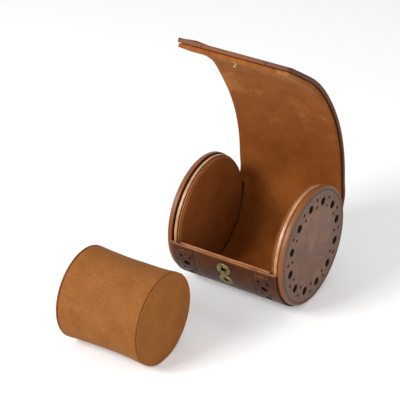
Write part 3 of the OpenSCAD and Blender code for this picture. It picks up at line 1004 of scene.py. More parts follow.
@dataclass
class WrapAndLid:
    """The leather, the filler and the suede that run from the shell's front edge to the lid's free edge."""

    finishes: Finishes
    line: LidLine
    seam_x: float = 21.6
    seam_gap: float = 0.1
    corner_r: float = 2.6
    lining_inset: float = 1.0
    filler_inset: float = 2.2
    lining_half: float = 32.3
    lid_leather: float = 2.6
    shell_leather: float = 1.2
    taper: float = 25.0
    lining_thick: float = 2.45
    filler_thick: float = 0.25
    leather_edge: float = 0.3
    lining_edge: float = 0.75
    row: float = 1.7
    end_crowding: float = 1.7
    band_x: float = 28.2
    hole_d: float = 4.6
    dot_d: float = 2.0
    dot_offset: float = 3.2
    mark_pitch: float = 6.0
    first_mark: float = 8.4
    socket_angles: tuple[float, float] = (29.1, 14.8)
    barrel_d: float = 5.1
    lid_shift: float = 0.9
    shift_over: float = 14.0
    corner_flare: float = 1.5
    flare_from: float = 122.0
    flare_over: float = 23.0
    right_sink: float = 2.2
    sink_from: float = -8.0
    sink_over: float = 46.0
    leather_wave: float = 0.12
    lining_wave: float = 0.18
    blend_reaches: tuple[float, ...] = (8.0, 12.5, 12.5, 12.5, 12.5)
    bodies: tuple[str, ...] = ("case", "lid_panel_1", "lid_panel_2", "lid_panel_3", "lid_panel_4", "lid_end")

    def __post_init__(self) -> None:
        self.leather_line, self.leather_bends = self.line.leather()
        self.lining_line, self.lining_bends = self.line.lining()
        points, marks = self.line.lid_points(self.lining_thick + 0.05)
        self.filler_line = Profile(points)
        self.filler_bends = [self.filler_line.runs[i] for i in marks]

    def free_corner(self, inset: float, length: float) -> Callable[[float], float]:
        """Half the width of a strip that ends in a rounded corner.

        Args:
            inset: How far the strip stays inside the leather's edge.
            length: Where the strip ends.

        Returns:
            The half width at a distance along the strip.
        """
        half, radius = HALF_WIDTH - inset, self.corner_r - inset

        def width(run: float) -> float:
            """Half the width at a distance along the strip."""
            past = min(max(run - (length - radius), 0.0), radius)
            return half - radius + math.sqrt(max(radius * radius - past * past, 0.0))
        return width

    def marks(self, side: int) -> list[tuple[float, float, float]]:
        """Places of a band's holes, as on the shell's and the lid's solids.

        Args:
            side: -1 for the left band and 1 for the right one.

        Returns:
            Distance along the leather, X, and diameter of each hole.
        """
        found: list[tuple[float, float, float]] = []

        def mark(run: float, big: bool) -> None:
            """Adds a big hole or a pair of dots."""
            if big:
                found.append((run, side * self.band_x, self.hole_d))
            else:
                found.extend((run, side * (self.band_x + k * self.dot_offset), self.dot_d) for k in (-1, 1))

        index = 0
        while self.first_mark + self.mark_pitch * index < self.leather_bends[0] - 5:
            mark(self.first_mark + self.mark_pitch * index, index % 2 == 1)
            index += 1
        pitch = self.line.lengths[0] / 2.5
        for k, length in enumerate(self.line.lengths):
            scale = (self.leather_bends[k + 1] - self.leather_bends[k]) / length
            for i in range(6):
                run = (0.25 + i / 2) * pitch
                if run < length - self.hole_d / 2:
                    mark(self.leather_bends[k] + run * scale, (i + k) % 2 == 1)
        return found

    def slack(self, bends: Sequence[float], x: float, run: float) -> tuple[float, float]:
        """How the soft lid hangs a little askew.

        Args:
            bends: Distance along the layer to each bend and to the free edge.
            x: The spot's X.
            run: Its distance along the layer.

        Returns:
            How far the spot shifts along X, and how far it stands out.
        """
        along = (run - bends[0]) / (bends[-1] - bends[0]) * sum(self.line.lengths)
        left = max(0.0, -x / HALF_WIDTH)
        flare = self.corner_flare * ease((along - self.flare_from) / self.flare_over) * left
        shift = -self.lid_shift * ease(along / self.shift_over) - flare
        sink = self.right_sink * ease((x - self.sink_from) / self.sink_over)
        return shift, -sink * hump(along, self.line.bow_at, self.line.bow_width)

    def lift(self, strip: Strip, x: float, run: float) -> float:
        """How far a layer stands off its line: soft waves, and the leather's swell near the free edge."""
        wave = noise.noise(Vector((x / 26, run / 30, 3.0 if strip.layer is Layer.LEATHER else 7.0)))
        if strip.layer is Layer.LEATHER:
            end = self.leather_bends[-1] - run
            behind = hump(end, 8.5, 4.5) * clamped((end - 0.5) / 3)
            swell = 1.25 * hump(x, -30, 8) + 0.5 * hump(x, 12, 9)
            return self.leather_wave * wave * min(1.0, end / 10) + swell * behind
        end = self.lining_bends[-1] - run
        return self.lining_wave * wave * max(0.0, min(end / 20, run / 12, 1.0))

    def sheet(self, strip: Strip, line: Profile, bends: Sequence[float], stops: Point, is_end: bool) -> Piece:
        """Lays a fine grid along the line and gives it its thickness and rounded edges.

        Args:
            strip: What is made.
            line: The line it follows.
            bends: Distance along the line to each bend and to the free edge.
            stops: Where this piece begins and ends.
            is_end: Whether it reaches the free edge, where the rows lie closer together.

        Returns:
            The closed piece.
        """
        first, last = stops
        width = strip.high((first + last) / 2) - strip.low((first + last) / 2)
        columns, rows = max(2, round(width / strip.cell)), max(4, round((last - first) / self.row))
        deselect_all()
        bpy.ops.mesh.primitive_grid_add(
            x_subdivisions=columns, y_subdivisions=rows, size=2, location=(0, 0, 0))
        piece = newest(strip.name)
        mesh = piece.data
        spots = []
        for vertex in mesh.vertices:
            share = (vertex.co.y + 1) / 2
            run = first + (last - first) * (1 - (1 - share) ** self.end_crowding if is_end else share)
            low, high = strip.low(run), strip.high(run)
            x = low + (high - low) * (vertex.co.x + 1) / 2
            spots.append((x, run))
            shift, out = self.slack(bends, x, run)
            spot = line.at(run) + line.outward(run) * (out + self.lift(strip, x, run))
            vertex.co = Vector((x + shift, spot.x, max(spot.y + AXIS_Z, FLOOR_GAP))) * MM
        layer = mesh.uv_layers.active
        for loop in mesh.loops:
            x, run = spots[loop.vertex_index]
            layer.data[loop.index].uv = (x * MM, run * MM)
        runs = mesh.attributes.new("run", "FLOAT", "POINT")
        runs.data.foreach_set("value", [run for _, run in spots])
        solid = piece.modifiers.new("thickness", "SOLIDIFY")
        solid.thickness = strip.thick * MM
        solid.offset = 1.0 if strip.layer is Layer.LEATHER else -1.0
        if strip.layer is Layer.LEATHER and first <= 0:
            self.taper_leather(piece, [run for _, run in spots])
            solid.vertex_group = "thickness"
        apply_modifiers(piece)
        piece.vertex_groups.clear()
        self.round_edges(piece, strip, [*([first] if first > 0 else []), *([] if is_end else [last])])
        return piece

    def taper_leather(self, piece: Piece, runs: Sequence[float]) -> None:
        """Notes how much thinner the leather is on the shell than on the lid.

        Args:
            piece: The first piece of a strip.
            runs: Distance along the leather of each of its points.
        """
        group = piece.vertex_groups.new(name="thickness")
        for index, run in enumerate(runs):
            share = clamped((run - self.leather_bends[0] + self.taper) / self.taper)
            thick = self.shell_leather + (self.lid_leather - self.shell_leather) * share
            group.add([index], thick / self.lid_leather, "REPLACE")

    def round_edges(self, piece: Piece, strip: Strip, joins: Sequence[float]) -> None:
        """Bevels a sheet's long and free edges, but not the ends where it meets the next piece.

        Args:
            piece: The sheet.
            strip: Its kind.
            joins: Distances along the sheet where it meets another piece.
        """
        if strip.round_r <= 0:
            return
        runs = [value.value for value in piece.data.attributes["run"].data]

        def is_free(a: int, b: int) -> bool:
            """Whether the edge between two points lies at no join."""
            return not any(abs(runs[a] - join) < 1e-3 and abs(runs[b] - join) < 1e-3 for join in joins)

        bevel_sharp(piece, strip.round_r, 3, 0.6, is_free)

    def perforate(self, piece: Piece, side: int, stops: Point) -> None:
        """Punches a band's holes between two distances.

        Args:
            piece: The band.
            side: -1 for the left band and 1 for the right one.
            stops: Where the piece begins and ends.
        """
        found = []
        for run, x, diameter in self.marks(side):
            if stops[0] - diameter < run < stops[1] + diameter:
                spot, outward = self.leather_line.at(run), self.leather_line.outward(run)
                shift, _ = self.slack(self.leather_bends, x, run)
                centre = Vector((x + shift, spot.x, spot.y + AXIS_Z))
                found.append((centre, Vector((0, outward.x, outward.y)), diameter))
        if found:
            cut_holes(piece, punch_set("band_punch", found, 7.0))
            weld(piece)

    def build(self) -> None:
        """Makes every strip, in pieces that each bend across one joint."""
        inner, seam = self.seam_x - self.seam_gap / 2, self.seam_x + self.seam_gap / 2
        outer = self.free_corner(0.0, self.leather_bends[-1])
        suede = self.free_corner(self.lining_inset, self.lining_bends[-1] - self.lining_inset)
        filler = self.free_corner(self.filler_inset, self.filler_bends[-1] - self.filler_inset)

        def lining(run: float) -> float:
            """Half the suede's width: between the pads first, and as wide as the lid behind the caps."""
            share = clamped((run - self.lining_bends[0] + 7.0) / 2.0)
            return self.lining_half + (suede(run) - self.lining_half) * share

        hide = (self.lid_leather, self.leather_edge)
        for name, layer, low, high, *sizes in (
            ("leather_middle", Layer.LEATHER, lambda _: -inner, lambda _: inner, *hide),
            ("leather_band_left", Layer.LEATHER, lambda run: -outer(run), lambda _: -seam, *hide, 2.4),
            ("leather_band_right", Layer.LEATHER, lambda _: seam, outer, *hide, 2.4),
            ("lid_filler", Layer.FILLER, lambda run: -filler(run), filler, self.filler_thick, 0.0, 6.0),
            ("lining", Layer.LINING, lambda run: -lining(run), lining, self.lining_thick, self.lining_edge),
        ):
            self.build_strip(Strip(name, layer, low, high, *sizes))

    def build_strip(self, strip: Strip) -> None:
        """Makes one strip in five pieces, from the middle of one lid panel to the middle of the next.

        Args:
            strip: The strip.
        """
        line, bends, inset = {
            Layer.LEATHER: (self.leather_line, self.leather_bends, 0.0),
            Layer.FILLER: (self.filler_line, self.filler_bends, self.filler_inset),
            Layer.LINING: (self.lining_line, self.lining_bends, self.lining_inset),
        }[strip.layer]
        finish, slot = {
            Layer.LEATHER: (self.finishes.strip, "dark_leather"),
            Layer.FILLER: (self.finishes.felt, "black_felt"),
            Layer.LINING: (self.finishes.lining, "lining_suede"),
        }[strip.layer]
        middles = [(a + b) / 2 for a, b in zip(bends, bends[1:])]
        stops = [0.0, *middles[:4], bends[-1] - inset]
        for k, ends in enumerate(zip(stops, stops[1:])):
            piece = self.sheet(replace(strip, name=f"{strip.name}_{k + 1}"), line, bends, ends, k == 4)
            if "band" in strip.name:
                self.perforate(piece, -1 if "left" in strip.name else 1, ends)
            if strip.name == "leather_middle" and k == 0:
                self.open_sockets(piece)
            shade(piece)
            dress(piece, finish)
            self.stand_for(strip, k)
            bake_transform(piece)
        LOG.info("strip %s: 5 pieces over %.1f mm", strip.name, stops[-1])

    def open_sockets(self, piece: Piece) -> None:
        """Cuts the two holes for the sockets' barrels.

        Args:
            piece: The leather between the bands.
        """
        marks = []
        for angle in self.socket_angles:
            out = Vector((0, -math.cos(math.radians(angle)), -math.sin(math.radians(angle))))
            marks.append((out * self.line.wrap_r + Vector((0, 0, AXIS_Z)), out, self.barrel_d))
        cut_holes(piece, punch_set("socket_punch", marks, 8.0, 32))

    def stand_for(self, strip: Strip, k: int) -> None:
        """Hides the solids that a piece stands for.

        Args:
            strip: Its strip.
            k: Its number along the strip, from 0.
        """
        n = k + 1
        if strip.name == "leather_middle":
            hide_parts(f"lid_leather_{n}", *(["case_leather"] if k == 0 else []))
        elif strip.name == "leather_band_left" and k == 0:
            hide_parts("case_band_left")
        elif strip.name == "leather_band_right" and k == 0:
            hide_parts("case_band_right")
        elif strip.layer is Layer.FILLER:
            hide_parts(f"lid_core_{n}")
        elif strip.layer is Layer.LINING:
            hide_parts(f"lid_lining_{n}", *(["case_lining", "back_lining"] if k == 0 else []))


@dataclass
class FrontEdge:
    """The leather's burnished lip, the lining's tan piping along the front edge, and the small stitches."""

    finishes: Finishes
    half_width: float = 38.1
    lining_half: float = 32.4
    drop: float = 2.5
    leather_r: Point = (39.05, 40.45)
    lining_r: Point = (37.0, 38.45)
    lip_tall: float = 1.15
    lip_curl: float = 0.6
    piping_tall: float = 1.3
    slices: int = 60
    stitch_angle: float = 8.6
    stitch_r: float = 40.36
    stitch_turn: float = 0.12
    stitch_size: Triple = (0.62, 0.26, 0.26)
    stitch_x: tuple[float, ...] = (23.6, 25.5, 27.4, 29.3, 31.2)

    def build(self) -> None:
        """Makes the lip, the piping and both rows of stitches."""
        lip, piping = self.finishes.lip, self.finishes.piping
        self.edging("front_lip", self.half_width, self.leather_r, self.lip_tall, self.lip_curl, lip)
        self.edging("front_piping", self.lining_half, self.lining_r, self.piping_tall, 0.0, piping)
        for side, word in ((-1, "left"), (1, "right")):
            self.stitches(side, word)

    def edging(self, name: str, half: float, radii: Point, tall: float, curl: float,
               finish: bpy.types.Material) -> None:
        """A flattened roll of leather, a little wavy, with closed round ends.

        Args:
            name: The new piece's name.
            half: Half its length.
            radii: Its inner and outer distance from the roll's axis.
            tall: Its height.
            curl: How far its ends curl up.
            finish: Its material.
        """
        deselect_all()
        bpy.ops.mesh.primitive_cylinder_add(
            vertices=16, radius=0.5, depth=2, location=(0, 0, 0), rotation=(0, math.pi / 2, 0))
        piece = newest(name)
        bpy.ops.object.mode_set(mode="EDIT")
        for i in range(1, self.slices):
            bpy.ops.mesh.select_all(action="SELECT")
            bpy.ops.mesh.bisect(plane_co=(-1 + i * 2 / self.slices, 0, 0), plane_no=(1, 0, 0))
        bpy.ops.object.mode_set(mode="OBJECT")
        middle, wide = (radii[0] + radii[1]) / 2, radii[1] - radii[0]
        for vertex in piece.data.vertices:
            x = vertex.co.x * half
            end = min(1.0, (1 - abs(vertex.co.x)) * half / 0.8) ** 0.5
            round_end = 0.55 + 0.45 * end
            wave = 0.14 * noise.noise(Vector((x / 9, radii[0], 1.7)))
            lift = curl * math.exp(-(half - abs(x)) / 2.2)
            vertex.co = Vector((x, -(middle + vertex.co.y * wide * round_end) + wave,
                                AXIS_Z - self.drop + 0.1 + vertex.co.z * tall * round_end + wave + lift)) * MM
        face_outwards(piece)
        shade(piece, 60)
        dress(piece, finish)
        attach(piece, "case")
        LOG.info("%s: %.1f mm long", name, 2 * half)

    def stitches(self, side: int, word: str) -> None:
        """One row of short stitches, copied from the first.

        Args:
            side: -1 or 1.
            word: The side's name.
        """
        angle = math.radians(self.stitch_angle)
        out = Vector((0, -math.cos(angle), -math.sin(angle)))
        deselect_all()
        bpy.ops.mesh.primitive_uv_sphere_add(segments=12, ring_count=8, radius=1, location=(0, 0, 0))
        first = bpy.context.object
        first.scale = Vector(self.stitch_size) * MM
        row = f"front_stitches_{word}"
        pieces = [newest(row)]
        for _ in self.stitch_x[1:]:
            copy = first.copy()
            copy.data = first.data.copy()
            bpy.context.scene.collection.objects.link(copy)
            pieces.append(copy)
        for piece, x in zip(pieces, self.stitch_x):
            spot = out * self.stitch_r + Vector((side * x, 0, AXIS_Z + 0.12 * math.sin(x * 5)))
            place(piece, Matrix.Translation(spot * MM) @ Matrix.Rotation(side * self.stitch_turn, 4, "Y"))
        deselect_all()
        for piece in pieces:
            piece.select_set(True)
        bpy.context.view_layer.objects.active = first
        bpy.ops.object.join()
        shade(first, 80)
        dress(first, self.finishes.thread)
        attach(first, "case")
        LOG.info("stitches %s: %d", word, len(pieces))


# ---- the end caps ----


@dataclass
class EndCap:
    """One end of the roll: perforated leather disc, tan rim and suede pad."""

    finishes: Finishes
    side: int
    half_length: float = 41.7
    disc_r: float = 39.0
    disc_t: float = 3.1
    disc_round: float = 1.2
    skin: float = 1.2
    lip: float = 0.5
    lines: tuple[Triple, ...] = ((OUTER_LINE_R, 0.22, 0.24), (LINE_R, 0.4, 0.38))
    swell: float = 0.02
    neck: float = 1.2
    rim_r: float = 38.4
    rim_w: float = 3.5
    rim_round: float = 1.5
    hub_r: float = 30.05
    pad_r: float = 37.0
    pad_t: float = 1.5
    crown: float = 0.5
    crown_r: float = 36.0
    hole_ring: float = 29.3
    hole_d: float = 5.5
    hole_edge: float = 0.36
    dot_d: float = 2.3
    dot_offset: float = 2.6
    holes: int = 12
    turn: float = 10.45

    @property
    def word(self) -> str:
        """The side's name."""
        return "right" if self.side > 0 else "left"

    @property
    def core_x(self) -> float:
        """Distance of the rim's inner side from the roll's middle."""
        return self.half_length - self.disc_t - self.neck - self.rim_w

    def seat(self, piece: Piece, x: float, way: int = 1) -> None:
        """Turns a piece's Z axis along the roll and puts its base at a distance from the middle.

        Args:
            piece: The turned piece.
            x: Distance of its base from the roll's middle.
            way: 1 to point outwards and -1 to point inwards.
        """
        turn = Matrix.Rotation(way * self.side * math.pi / 2, 4, "Y")
        place(piece, Matrix.Translation(Vector((self.side * x, 0, AXIS_Z)) * MM) @ turn)
        face_outwards(piece)

    def build(self) -> None:
        """Makes the disc, the rim and the pad, and dresses the solids behind them."""
        self.disc()
        self.rim()
        self.pad()
        for name, finish, slot in ((f"cap_{self.word}_backing", self.finishes.felt, "black_felt"),
                                   (f"cap_{self.word}_core", self.finishes.board, "fibreboard")):
            dress(frame["nodes"][name], finish)
        LOG.info("end cap %s: disc radius %.1f mm", self.word, self.disc_r)

    def disc(self) -> None:
        """The outer leather disc, with a rounded edge, two pressed lines near it and the ring of holes."""
        r, t, k = self.disc_r, self.disc_t, self.disc_round
        inside, under = r - self.skin, t - self.skin
        outline: list[Point] = [(0, under), (24, under), (inside, under), (inside, -self.lip)]
        outline += round_corner((r - 0.5, 0.5 - self.lip), 0.5, -90, 0, 4)
        outline += round_corner((r - k, t - k), k, 0, 90, 7)
        for line, depth, half in self.lines:
            outline += [(line + half, t - self.swell), (line + 0.1, t - depth), (line - 0.1, t - depth),
                        (line - half, t - self.swell), (line - half - 0.25, t + self.swell)]
        outline += [(radius, t) for radius in (35.2, 33.4, 25.2, 16, 8, 0)]
        piece = turned(f"cap_{self.word}_disc", outline)
        self.seat(piece, self.half_length - t)
        marks = []
        along = Vector((self.side, 0, 0))
        for i in range(self.holes):
            angle = math.radians(self.turn + i * 360 / self.holes)
            marks.append((self.on_disc(self.hole_ring, angle), along, self.hole_d))
            angle += math.pi / self.holes
            for radius in (self.hole_ring - self.dot_offset, self.hole_ring + self.dot_offset):
                marks.append((self.on_disc(radius, angle), along, self.dot_d))
        cut_holes(piece, punch_set("disc_punch", marks, 3.4, 32))
        self.soften_holes(piece)
        shade(piece, 40)
        dress(piece, self.finishes.disc)
        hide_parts(f"cap_{self.word}_cover")
        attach(piece, "case")

    def on_disc(self, radius: float, angle: float) -> Vector:
        """A point of the disc's face, at an angle from +Y towards +Z."""
        across, up = radius * math.cos(angle), radius * math.sin(angle)
        return Vector((self.side * self.half_length, across, AXIS_Z + up))

    def soften_holes(self, piece: Piece) -> None:
        """Rounds the outer edge of every hole a little.

        Args:
            piece: The perforated disc.
        """
        face_x = self.side * self.half_length * MM

        def on_face(*ends: int) -> bool:
            """Whether points lie on the disc's face."""
            return all(abs(piece.data.vertices[end].co.x - face_x) < SAME_PLACE for end in ends)

        bevel_sharp(piece, self.hole_edge, 2, 0.5, on_face)

    def rim(self) -> None:
        """The tan rim: the pad's piping, a groove beside it and a broad rounded band."""
        r, w, k = self.rim_r, self.rim_w + 0.15, self.rim_round
        piping = [(37.25, 0.0), (37.6, 0.1), (37.75, 0.33), (37.65, 0.58), (37.4, 0.76), (37.1, 0.9)]
        band = round_corner((r - 1.0, 1.95), 1.0, -62, 0, 6)
        band += round_corner((r - k, w - k), k, 0, 90, 7)[:-1]
        outline = [(self.hub_r, 0.0), *piping, (37.4, 1.04), *band,
                   (r - k, w), (self.hub_r, w), (self.hub_r, 0.0)]
        piece = turned(f"cap_{self.word}_ring", outline)
        weld(piece)
        self.seat(piece, self.core_x)
        shade(piece, 50)
        dress(piece, self.finishes.tan)
        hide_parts(f"cap_{self.word}_rim")
        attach(piece, "case")

    def pad(self) -> None:
        """The suede pad, softly crowned towards the inside of the roll."""
        r, t = self.pad_r, self.pad_t
        outline: list[Point] = [(0, 0), (20, 0), (r - 0.95, 0), (r - 0.75, 0.2)]
        outline += round_corner((r - 0.85, t - 0.75), 0.7, -40, 90, 8)
        for radius in (34.6, 32, 28, 23, 17, 11, 5, 0):
            share = radius / self.crown_r
            outline.append((radius, t - 0.05 + self.crown * (1 - share * share)))
        piece = turned(f"cap_{self.word}_cushion", outline, 112)
        self.seat(piece, self.core_x, -1)
        for vertex in piece.data.vertices:
            co = vertex.co / MM
            if abs(co.x) < self.core_x - 1.2:
                wave = noise.noise(Vector((co.y / 13, co.z / 13, self.side * 4.0)))
                vertex.co.x -= self.side * 0.14 * MM * wave
        shade(piece, 60)
        dress(piece, self.finishes.pad)
        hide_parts(f"cap_{self.word}_pad")
        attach(piece, "case")


# ---- the fastening ----


@dataclass
class Fastening:
    """The two brass sockets on the front and the stud on the lid."""

    finishes: Finishes
    shell: WrapAndLid
    stud_from_edge: float = 5.7
    bore_r: float = 2.1
    bore_z: float = 0.3
    dish: Point = (2.6, 3.2)
    dish_patina: float = 0.55

    def build(self) -> None:
        """Makes both sockets and the stud, and dresses the solids behind them."""
        for angle, word in zip(self.shell.socket_angles, ("lower", "upper")):
            self.socket(angle, word)
            # the cup behind each bore is dressed black: painted shade in the bore
            dress(frame["nodes"][f"socket_cup_{word}"], self.finishes.felt)
        self.stud()
        dress(frame["nodes"]["stud_base"], self.finishes.brass)
        dress(frame["nodes"]["case_board"], self.finishes.board)

    def mount(self, piece: Piece, where: Vector, way: Vector) -> None:
        """Puts a turned brass piece in its place and dresses it.

        Args:
            piece: The piece, with its base at the origin.
            where: The base's place in millimetres.
            way: Where its Z axis goes.
        """
        place(piece, Matrix.Translation(where * MM) @ way.to_track_quat("Z", "X").to_matrix().to_4x4())
        face_outwards(piece)
        shade(piece, 50)
        dress(piece, self.finishes.brass)

    def patina_and_bore_shade(self, spot: Vector) -> float:
        """How dark a socket is at a spot: all dark in the bore, as painted shade, and half dark with tarnish
        in the dished face.
        """
        radius = math.hypot(spot.x, spot.y)
        if radius < self.bore_r * MM and spot.z < self.bore_z * MM:
            return 1.0
        return self.dish_patina if self.dish[0] * MM < radius < self.dish[1] * MM else 0.0

    def socket(self, angle: float, word: str) -> None:
        """One raised ring with a dished face and a collar round its bore.

        Args:
            angle: Degrees below the roll's axis at the front.
            word: The socket's name.
        """
        barrel = [(1.75, -1.85), (2.5, -1.85), (2.5, -0.3), (4.75, -0.3), (4.8, 0.05)]
        face = [(3.9, 0.52), (3.35, 0.5), (3.1, 0.34), (2.9, 0.22), (2.65, 0.24), (2.5, 0.42)]
        bore = [(2.05, 0.34), (1.9, 0.1), (1.75, -0.2), (1.75, -1.85)]
        outline = [*barrel, *round_corner((4.45, 0.12), 0.36, 10, 100, 4), *face,
                   *round_corner((2.25, 0.42), 0.2, 120, 30, 3), *bore]
        piece = turned(f"socket_{word}_ring", outline, 56)
        weld(piece)
        # painted shade in the bore, and tarnish in the dished face
        deep = piece.data.attributes.new("deep", "FLOAT", "POINT")
        deep.data.foreach_set("value", [self.patina_and_bore_shade(vertex.co) for vertex in piece.data.vertices])
        turn = math.radians(angle)
        out = Vector((0, -math.cos(turn), -math.sin(turn)))
        self.mount(piece, out * self.shell.line.wrap_r + Vector((0, 0, AXIS_Z)), out)
        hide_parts(f"socket_{word}")
        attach(piece, "case")
        LOG.info("socket %s", word)

    def stud(self) -> None:
        """The collar, neck and round knob of the stud."""
        shank = [(0, -2.4), (0.95, -2.4), (0.95, -0.02), (2.0, -0.02), (2.0, 0.14)]
        neck = [(0.95, 0.36), (0.78, 0.6), (0.74, 1.1)]
        outline = [*shank, *round_corner((1.75, 0.12), 0.22, 10, 90, 3), *neck,
                   *round_corner((0.0, 1.95), 1.05, -45, 80, 9), (0, 3.0)]
        piece = turned("lid_stud", outline, 40)
        line = self.shell.line
        start, heading = line.starts[-1]
        centre, rho = arc_of(start, heading, line.lengths[-1], line.curls[-1])
        angle = heading + (line.lengths[-1] - self.stud_from_edge) / rho
        spot = on_arc(centre, rho, angle)
        inwards = Vector((0, -math.sin(angle), math.cos(angle)))
        bow = line.bow(sum(line.lengths) - self.stud_from_edge)
        self.mount(piece, Vector((-self.shell.lid_shift, spot.x, spot.y + AXIS_Z)) - inwards * bow, inwards)
        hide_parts("stud")
        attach(piece, "lid_end")
        LOG.info("stud on the lid")


# ---- the watch cuff ----


@dataclass
class WatchCuff:
    """The soft cuff that a watch is strapped round: a suede sleeve and two end covers.

    Its round pieces are turned with a radius of 100 and then stretched to the cuff's oval section.
    """

    finishes: Finishes
    length: float = 59.2
    height: float = 58.6
    depth: float = 57.6
    waist: float = 2.0
    flare: float = 2.6
    cover_t: float = 1.2
    seam: float = 0.45
    edge: float = 0.95
    swell: float = 0.22
    dome: float = 0.5
    flat: float = 0.4
    x: float = -30.1
    y: float = -103.8
    turn: float = 0.5

    def set_down(self, piece: Piece) -> None:
        """Turns a piece modelled along Z to lie along the cuff, on its place on the table.

        Args:
            piece: The piece, with its X across the cuff's height and Y across its depth.
        """
        lay = Matrix.Rotation(math.radians(self.turn), 4, "Z") @ Matrix.Rotation(math.pi / 2, 4, "Y")
        place(piece, Matrix.Translation(Vector((self.x, self.y, self.height / 2 - self.flat)) * MM) @ lay)
        face_outwards(piece)
        for vertex in piece.data.vertices:
            vertex.co.z = max(vertex.co.z, FLOOR_GAP * MM)

    def oval(self, piece: Piece) -> None:
        """Stretches a round piece to the cuff's oval section.

        Args:
            piece: A piece turned with a radius of 100.
        """
        place(piece, Matrix.Diagonal((self.height / 200, self.depth / 200, 1, 1)))

    def inset(self, millimetres: float) -> float:
        """The radius, of a piece turned with 100, that lies this far inside the finished cuff's side."""
        return 100 - millimetres * (200 / (self.height + self.depth))

    def pinch(self, share: float) -> float:
        """How far the side is drawn in at a share of the half length, flaring at the ends."""
        return self.waist * (1 - abs(share) ** self.flare)

    def build(self) -> None:
        """Makes the sleeve and both end covers."""
        self.sleeve()
        for side, word in ((-1, "left"), (1, "right")):
            self.cover(side, word)

    def sleeve(self) -> None:
        """The closed suede sleeve with its drawn-in waist and turned ends."""
        half = self.length / 2 - self.cover_t - self.seam
        end = [(0, 0.0), (60, 0.0), (96.0, 0.0),
               (self.inset(0.9), 0.05), (self.inset(0.3), 0.35), (100, self.edge)]
        outline = [(radius, up - half) for radius, up in end]
        for i in range(1, 28):
            share = -1 + i / 14
            outline.append((self.inset(self.pinch(share)), share * (half - self.edge)))
        outline += [(radius, half - up) for radius, up in reversed(end)]
        piece = turned("cuff_body", outline, 128)
        self.oval(piece)
        for vertex in piece.data.vertices:
            co = vertex.co / MM
            if abs(co.z) < half - 1.5:
                wave = noise.noise(Vector((co.x / 21, co.y / 21, co.z / 17)))
                vertex.co += Vector((co.x, co.y, 0)).normalized() * (self.swell * wave) * MM
        self.set_down(piece)
        shade(piece, 50)
        dress(piece, self.finishes.sleeve)
        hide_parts("cuff_sleeve", "cuff_foam", "cuff_board_left", "cuff_board_right")
        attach(piece, "cuff")
        LOG.info("cuff body: %.1f mm long", 2 * half)

    def cover(self, side: int, word: str) -> None:
        """A slightly domed suede cover over one end.

        Args:
            side: -1 or 1.
            word: The end's name.
        """
        base, top = self.length / 2 - self.cover_t, self.length / 2
        outline = [(0, base), (60, base),
                   (self.inset(0.9), base), (self.inset(0.3), base + 0.12), (100, base + 0.4)]
        for i in range(1, 6):
            a = math.radians(18 * i)
            outline.append((self.inset(0.5 - 0.5 * math.cos(a)), top - 1.0 + 0.5 * math.sin(a)))
        for radius in (92, 84, 72, 58, 44, 28, 12, 0):
            outline.append((radius, top - self.dome * (radius / 100) ** 6))
        piece = turned(f"cuff_end_{word}", outline, 128)
        self.oval(piece)
        if side < 0:
            place(piece, Matrix.Diagonal((1, 1, -1, 1)))
        self.set_down(piece)
        shade(piece, 50)
        dress(piece, self.finishes.cover)
        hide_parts(f"cuff_cover_{word}")
        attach(piece, "cuff")
        LOG.info("cuff end %s", word)


# ---- the studio ----


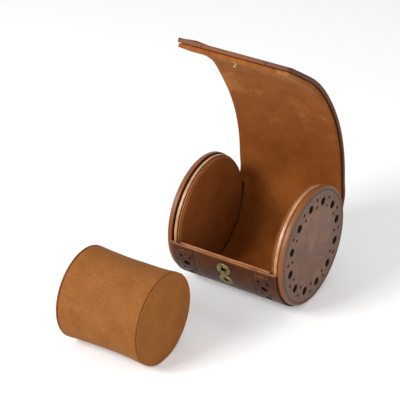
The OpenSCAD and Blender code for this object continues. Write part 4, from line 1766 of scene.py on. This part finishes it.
@dataclass
class Studio:
    """Pale floor, soft lamps, white surroundings and the camera."""

    camera_at: Triple = (456.5, -779.6, 588.4)
    back: Triple = (0.46501, -0.72702, 0.50516)
    lens: float = 150.4
    aim: Triple = (0, -30, 55)
    floor_grey: float = 0.86
    floor_glow: float = 0.22
    world_light: float = 0.37

    def build(self) -> None:
        """Makes the floor, the lamps, the world and the camera."""
        self.floor()
        self.lamp("key", (-470, -880, 720), 0.5, 12.2)
        self.lamp("side", (900, -450, 520), 0.9, 4.6)
        self.lamp("top", (-100, 250, 1100), 0.9, 2.2)
        self.world()
        self.camera()

    def floor(self) -> None:
        """A plain white floor, nearly white to the camera where no shadow falls."""
        deselect_all()
        bpy.ops.mesh.primitive_plane_add(size=9, location=(0, 0, 0))
        floor = bpy.context.object
        floor.name = "floor"
        s = Surface("floor_white")
        rays = s.nodes.new("ShaderNodeLightPath")
        seen = s.math("MAXIMUM", rays.outputs["Is Camera Ray"], rays.outputs["Is Glossy Ray"])
        floor.data.materials.append(s.finish(
            (self.floor_grey,) * 3, 0.9, specular_ior_level=0.0, emission_color=(1, 1, 1),
            emission_strength=s.times(seen, self.floor_glow)))

    def lamp(self, name: str, spot: Triple, size: float, power: float) -> None:
        """A large soft lamp that looks at the roll.

        Args:
            name: The lamp's name.
            spot: Its place in millimetres.
            size: Its side in metres.
            power: Its power in watts.
        """
        data = bpy.data.lights.new(name, "AREA")
        data.shape = "SQUARE"
        data.size = size
        data.energy = power
        lamp = bpy.data.objects.new(name, data)
        bpy.context.scene.collection.objects.link(lamp)
        lamp.location = Vector(spot) * MM
        aim = Vector(self.aim) * MM - lamp.location
        lamp.rotation_euler = aim.to_track_quat("-Z", "Y").to_euler()

    def world(self) -> None:
        """Even pale light all round, pure white to the camera and in reflections."""
        world = bpy.data.worlds.new("studio")
        bpy.context.scene.world = world
        world.use_nodes = True
        nodes, links = world.node_tree.nodes, world.node_tree.links
        shade_node = nodes["Background"]
        shade_node.inputs["Color"].default_value = (1, 1, 1, 1)
        rays = nodes.new("ShaderNodeLightPath")
        seen = nodes.new("ShaderNodeMath")
        seen.operation = "MAXIMUM"
        links.new(rays.outputs["Is Camera Ray"], seen.inputs[0])
        links.new(rays.outputs["Is Transmission Ray"], seen.inputs[1])
        glossy = nodes.new("ShaderNodeMath")
        glossy.operation = "MAXIMUM"
        links.new(seen.outputs[0], glossy.inputs[0])
        links.new(rays.outputs["Is Glossy Ray"], glossy.inputs[1])
        strength = nodes.new("ShaderNodeMapRange")
        links.new(glossy.outputs[0], strength.inputs["Value"])
        strength.inputs["To Min"].default_value = self.world_light
        strength.inputs["To Max"].default_value = 1.0
        links.new(strength.outputs["Result"], shade_node.inputs["Strength"])

    def camera(self) -> None:
        """The camera at the photograph's angle."""
        data = bpy.data.cameras.new("camera")
        data.lens = self.lens
        data.sensor_width = 36.0
        data.clip_start, data.clip_end = 0.05, 20.0
        camera = bpy.data.objects.new("camera", data)
        bpy.context.scene.collection.objects.link(camera)
        camera.location = Vector(self.camera_at) * MM
        camera.rotation_euler = (-Vector(self.back)).to_track_quat("-Z", "Y").to_euler()
        bpy.context.scene.camera = camera


def main() -> None:
    """Builds the studio and every sub-assembly."""
    logging.basicConfig(level=logging.INFO, format="%(name)s: %(message)s")
    scene = bpy.context.scene
    scene.view_settings.view_transform = "Standard"
    Studio().build()
    line = LidLine()
    finishes = Finishes(line.leather()[0].length)
    shell = WrapAndLid(finishes, line)
    shell.build()
    FrontEdge(finishes).build()
    for side in (-1, 1):
        EndCap(finishes, side).build()
    Fastening(finishes, shell).build()
    WatchCuff(finishes).build()


if __name__ == "__main__":
    main()
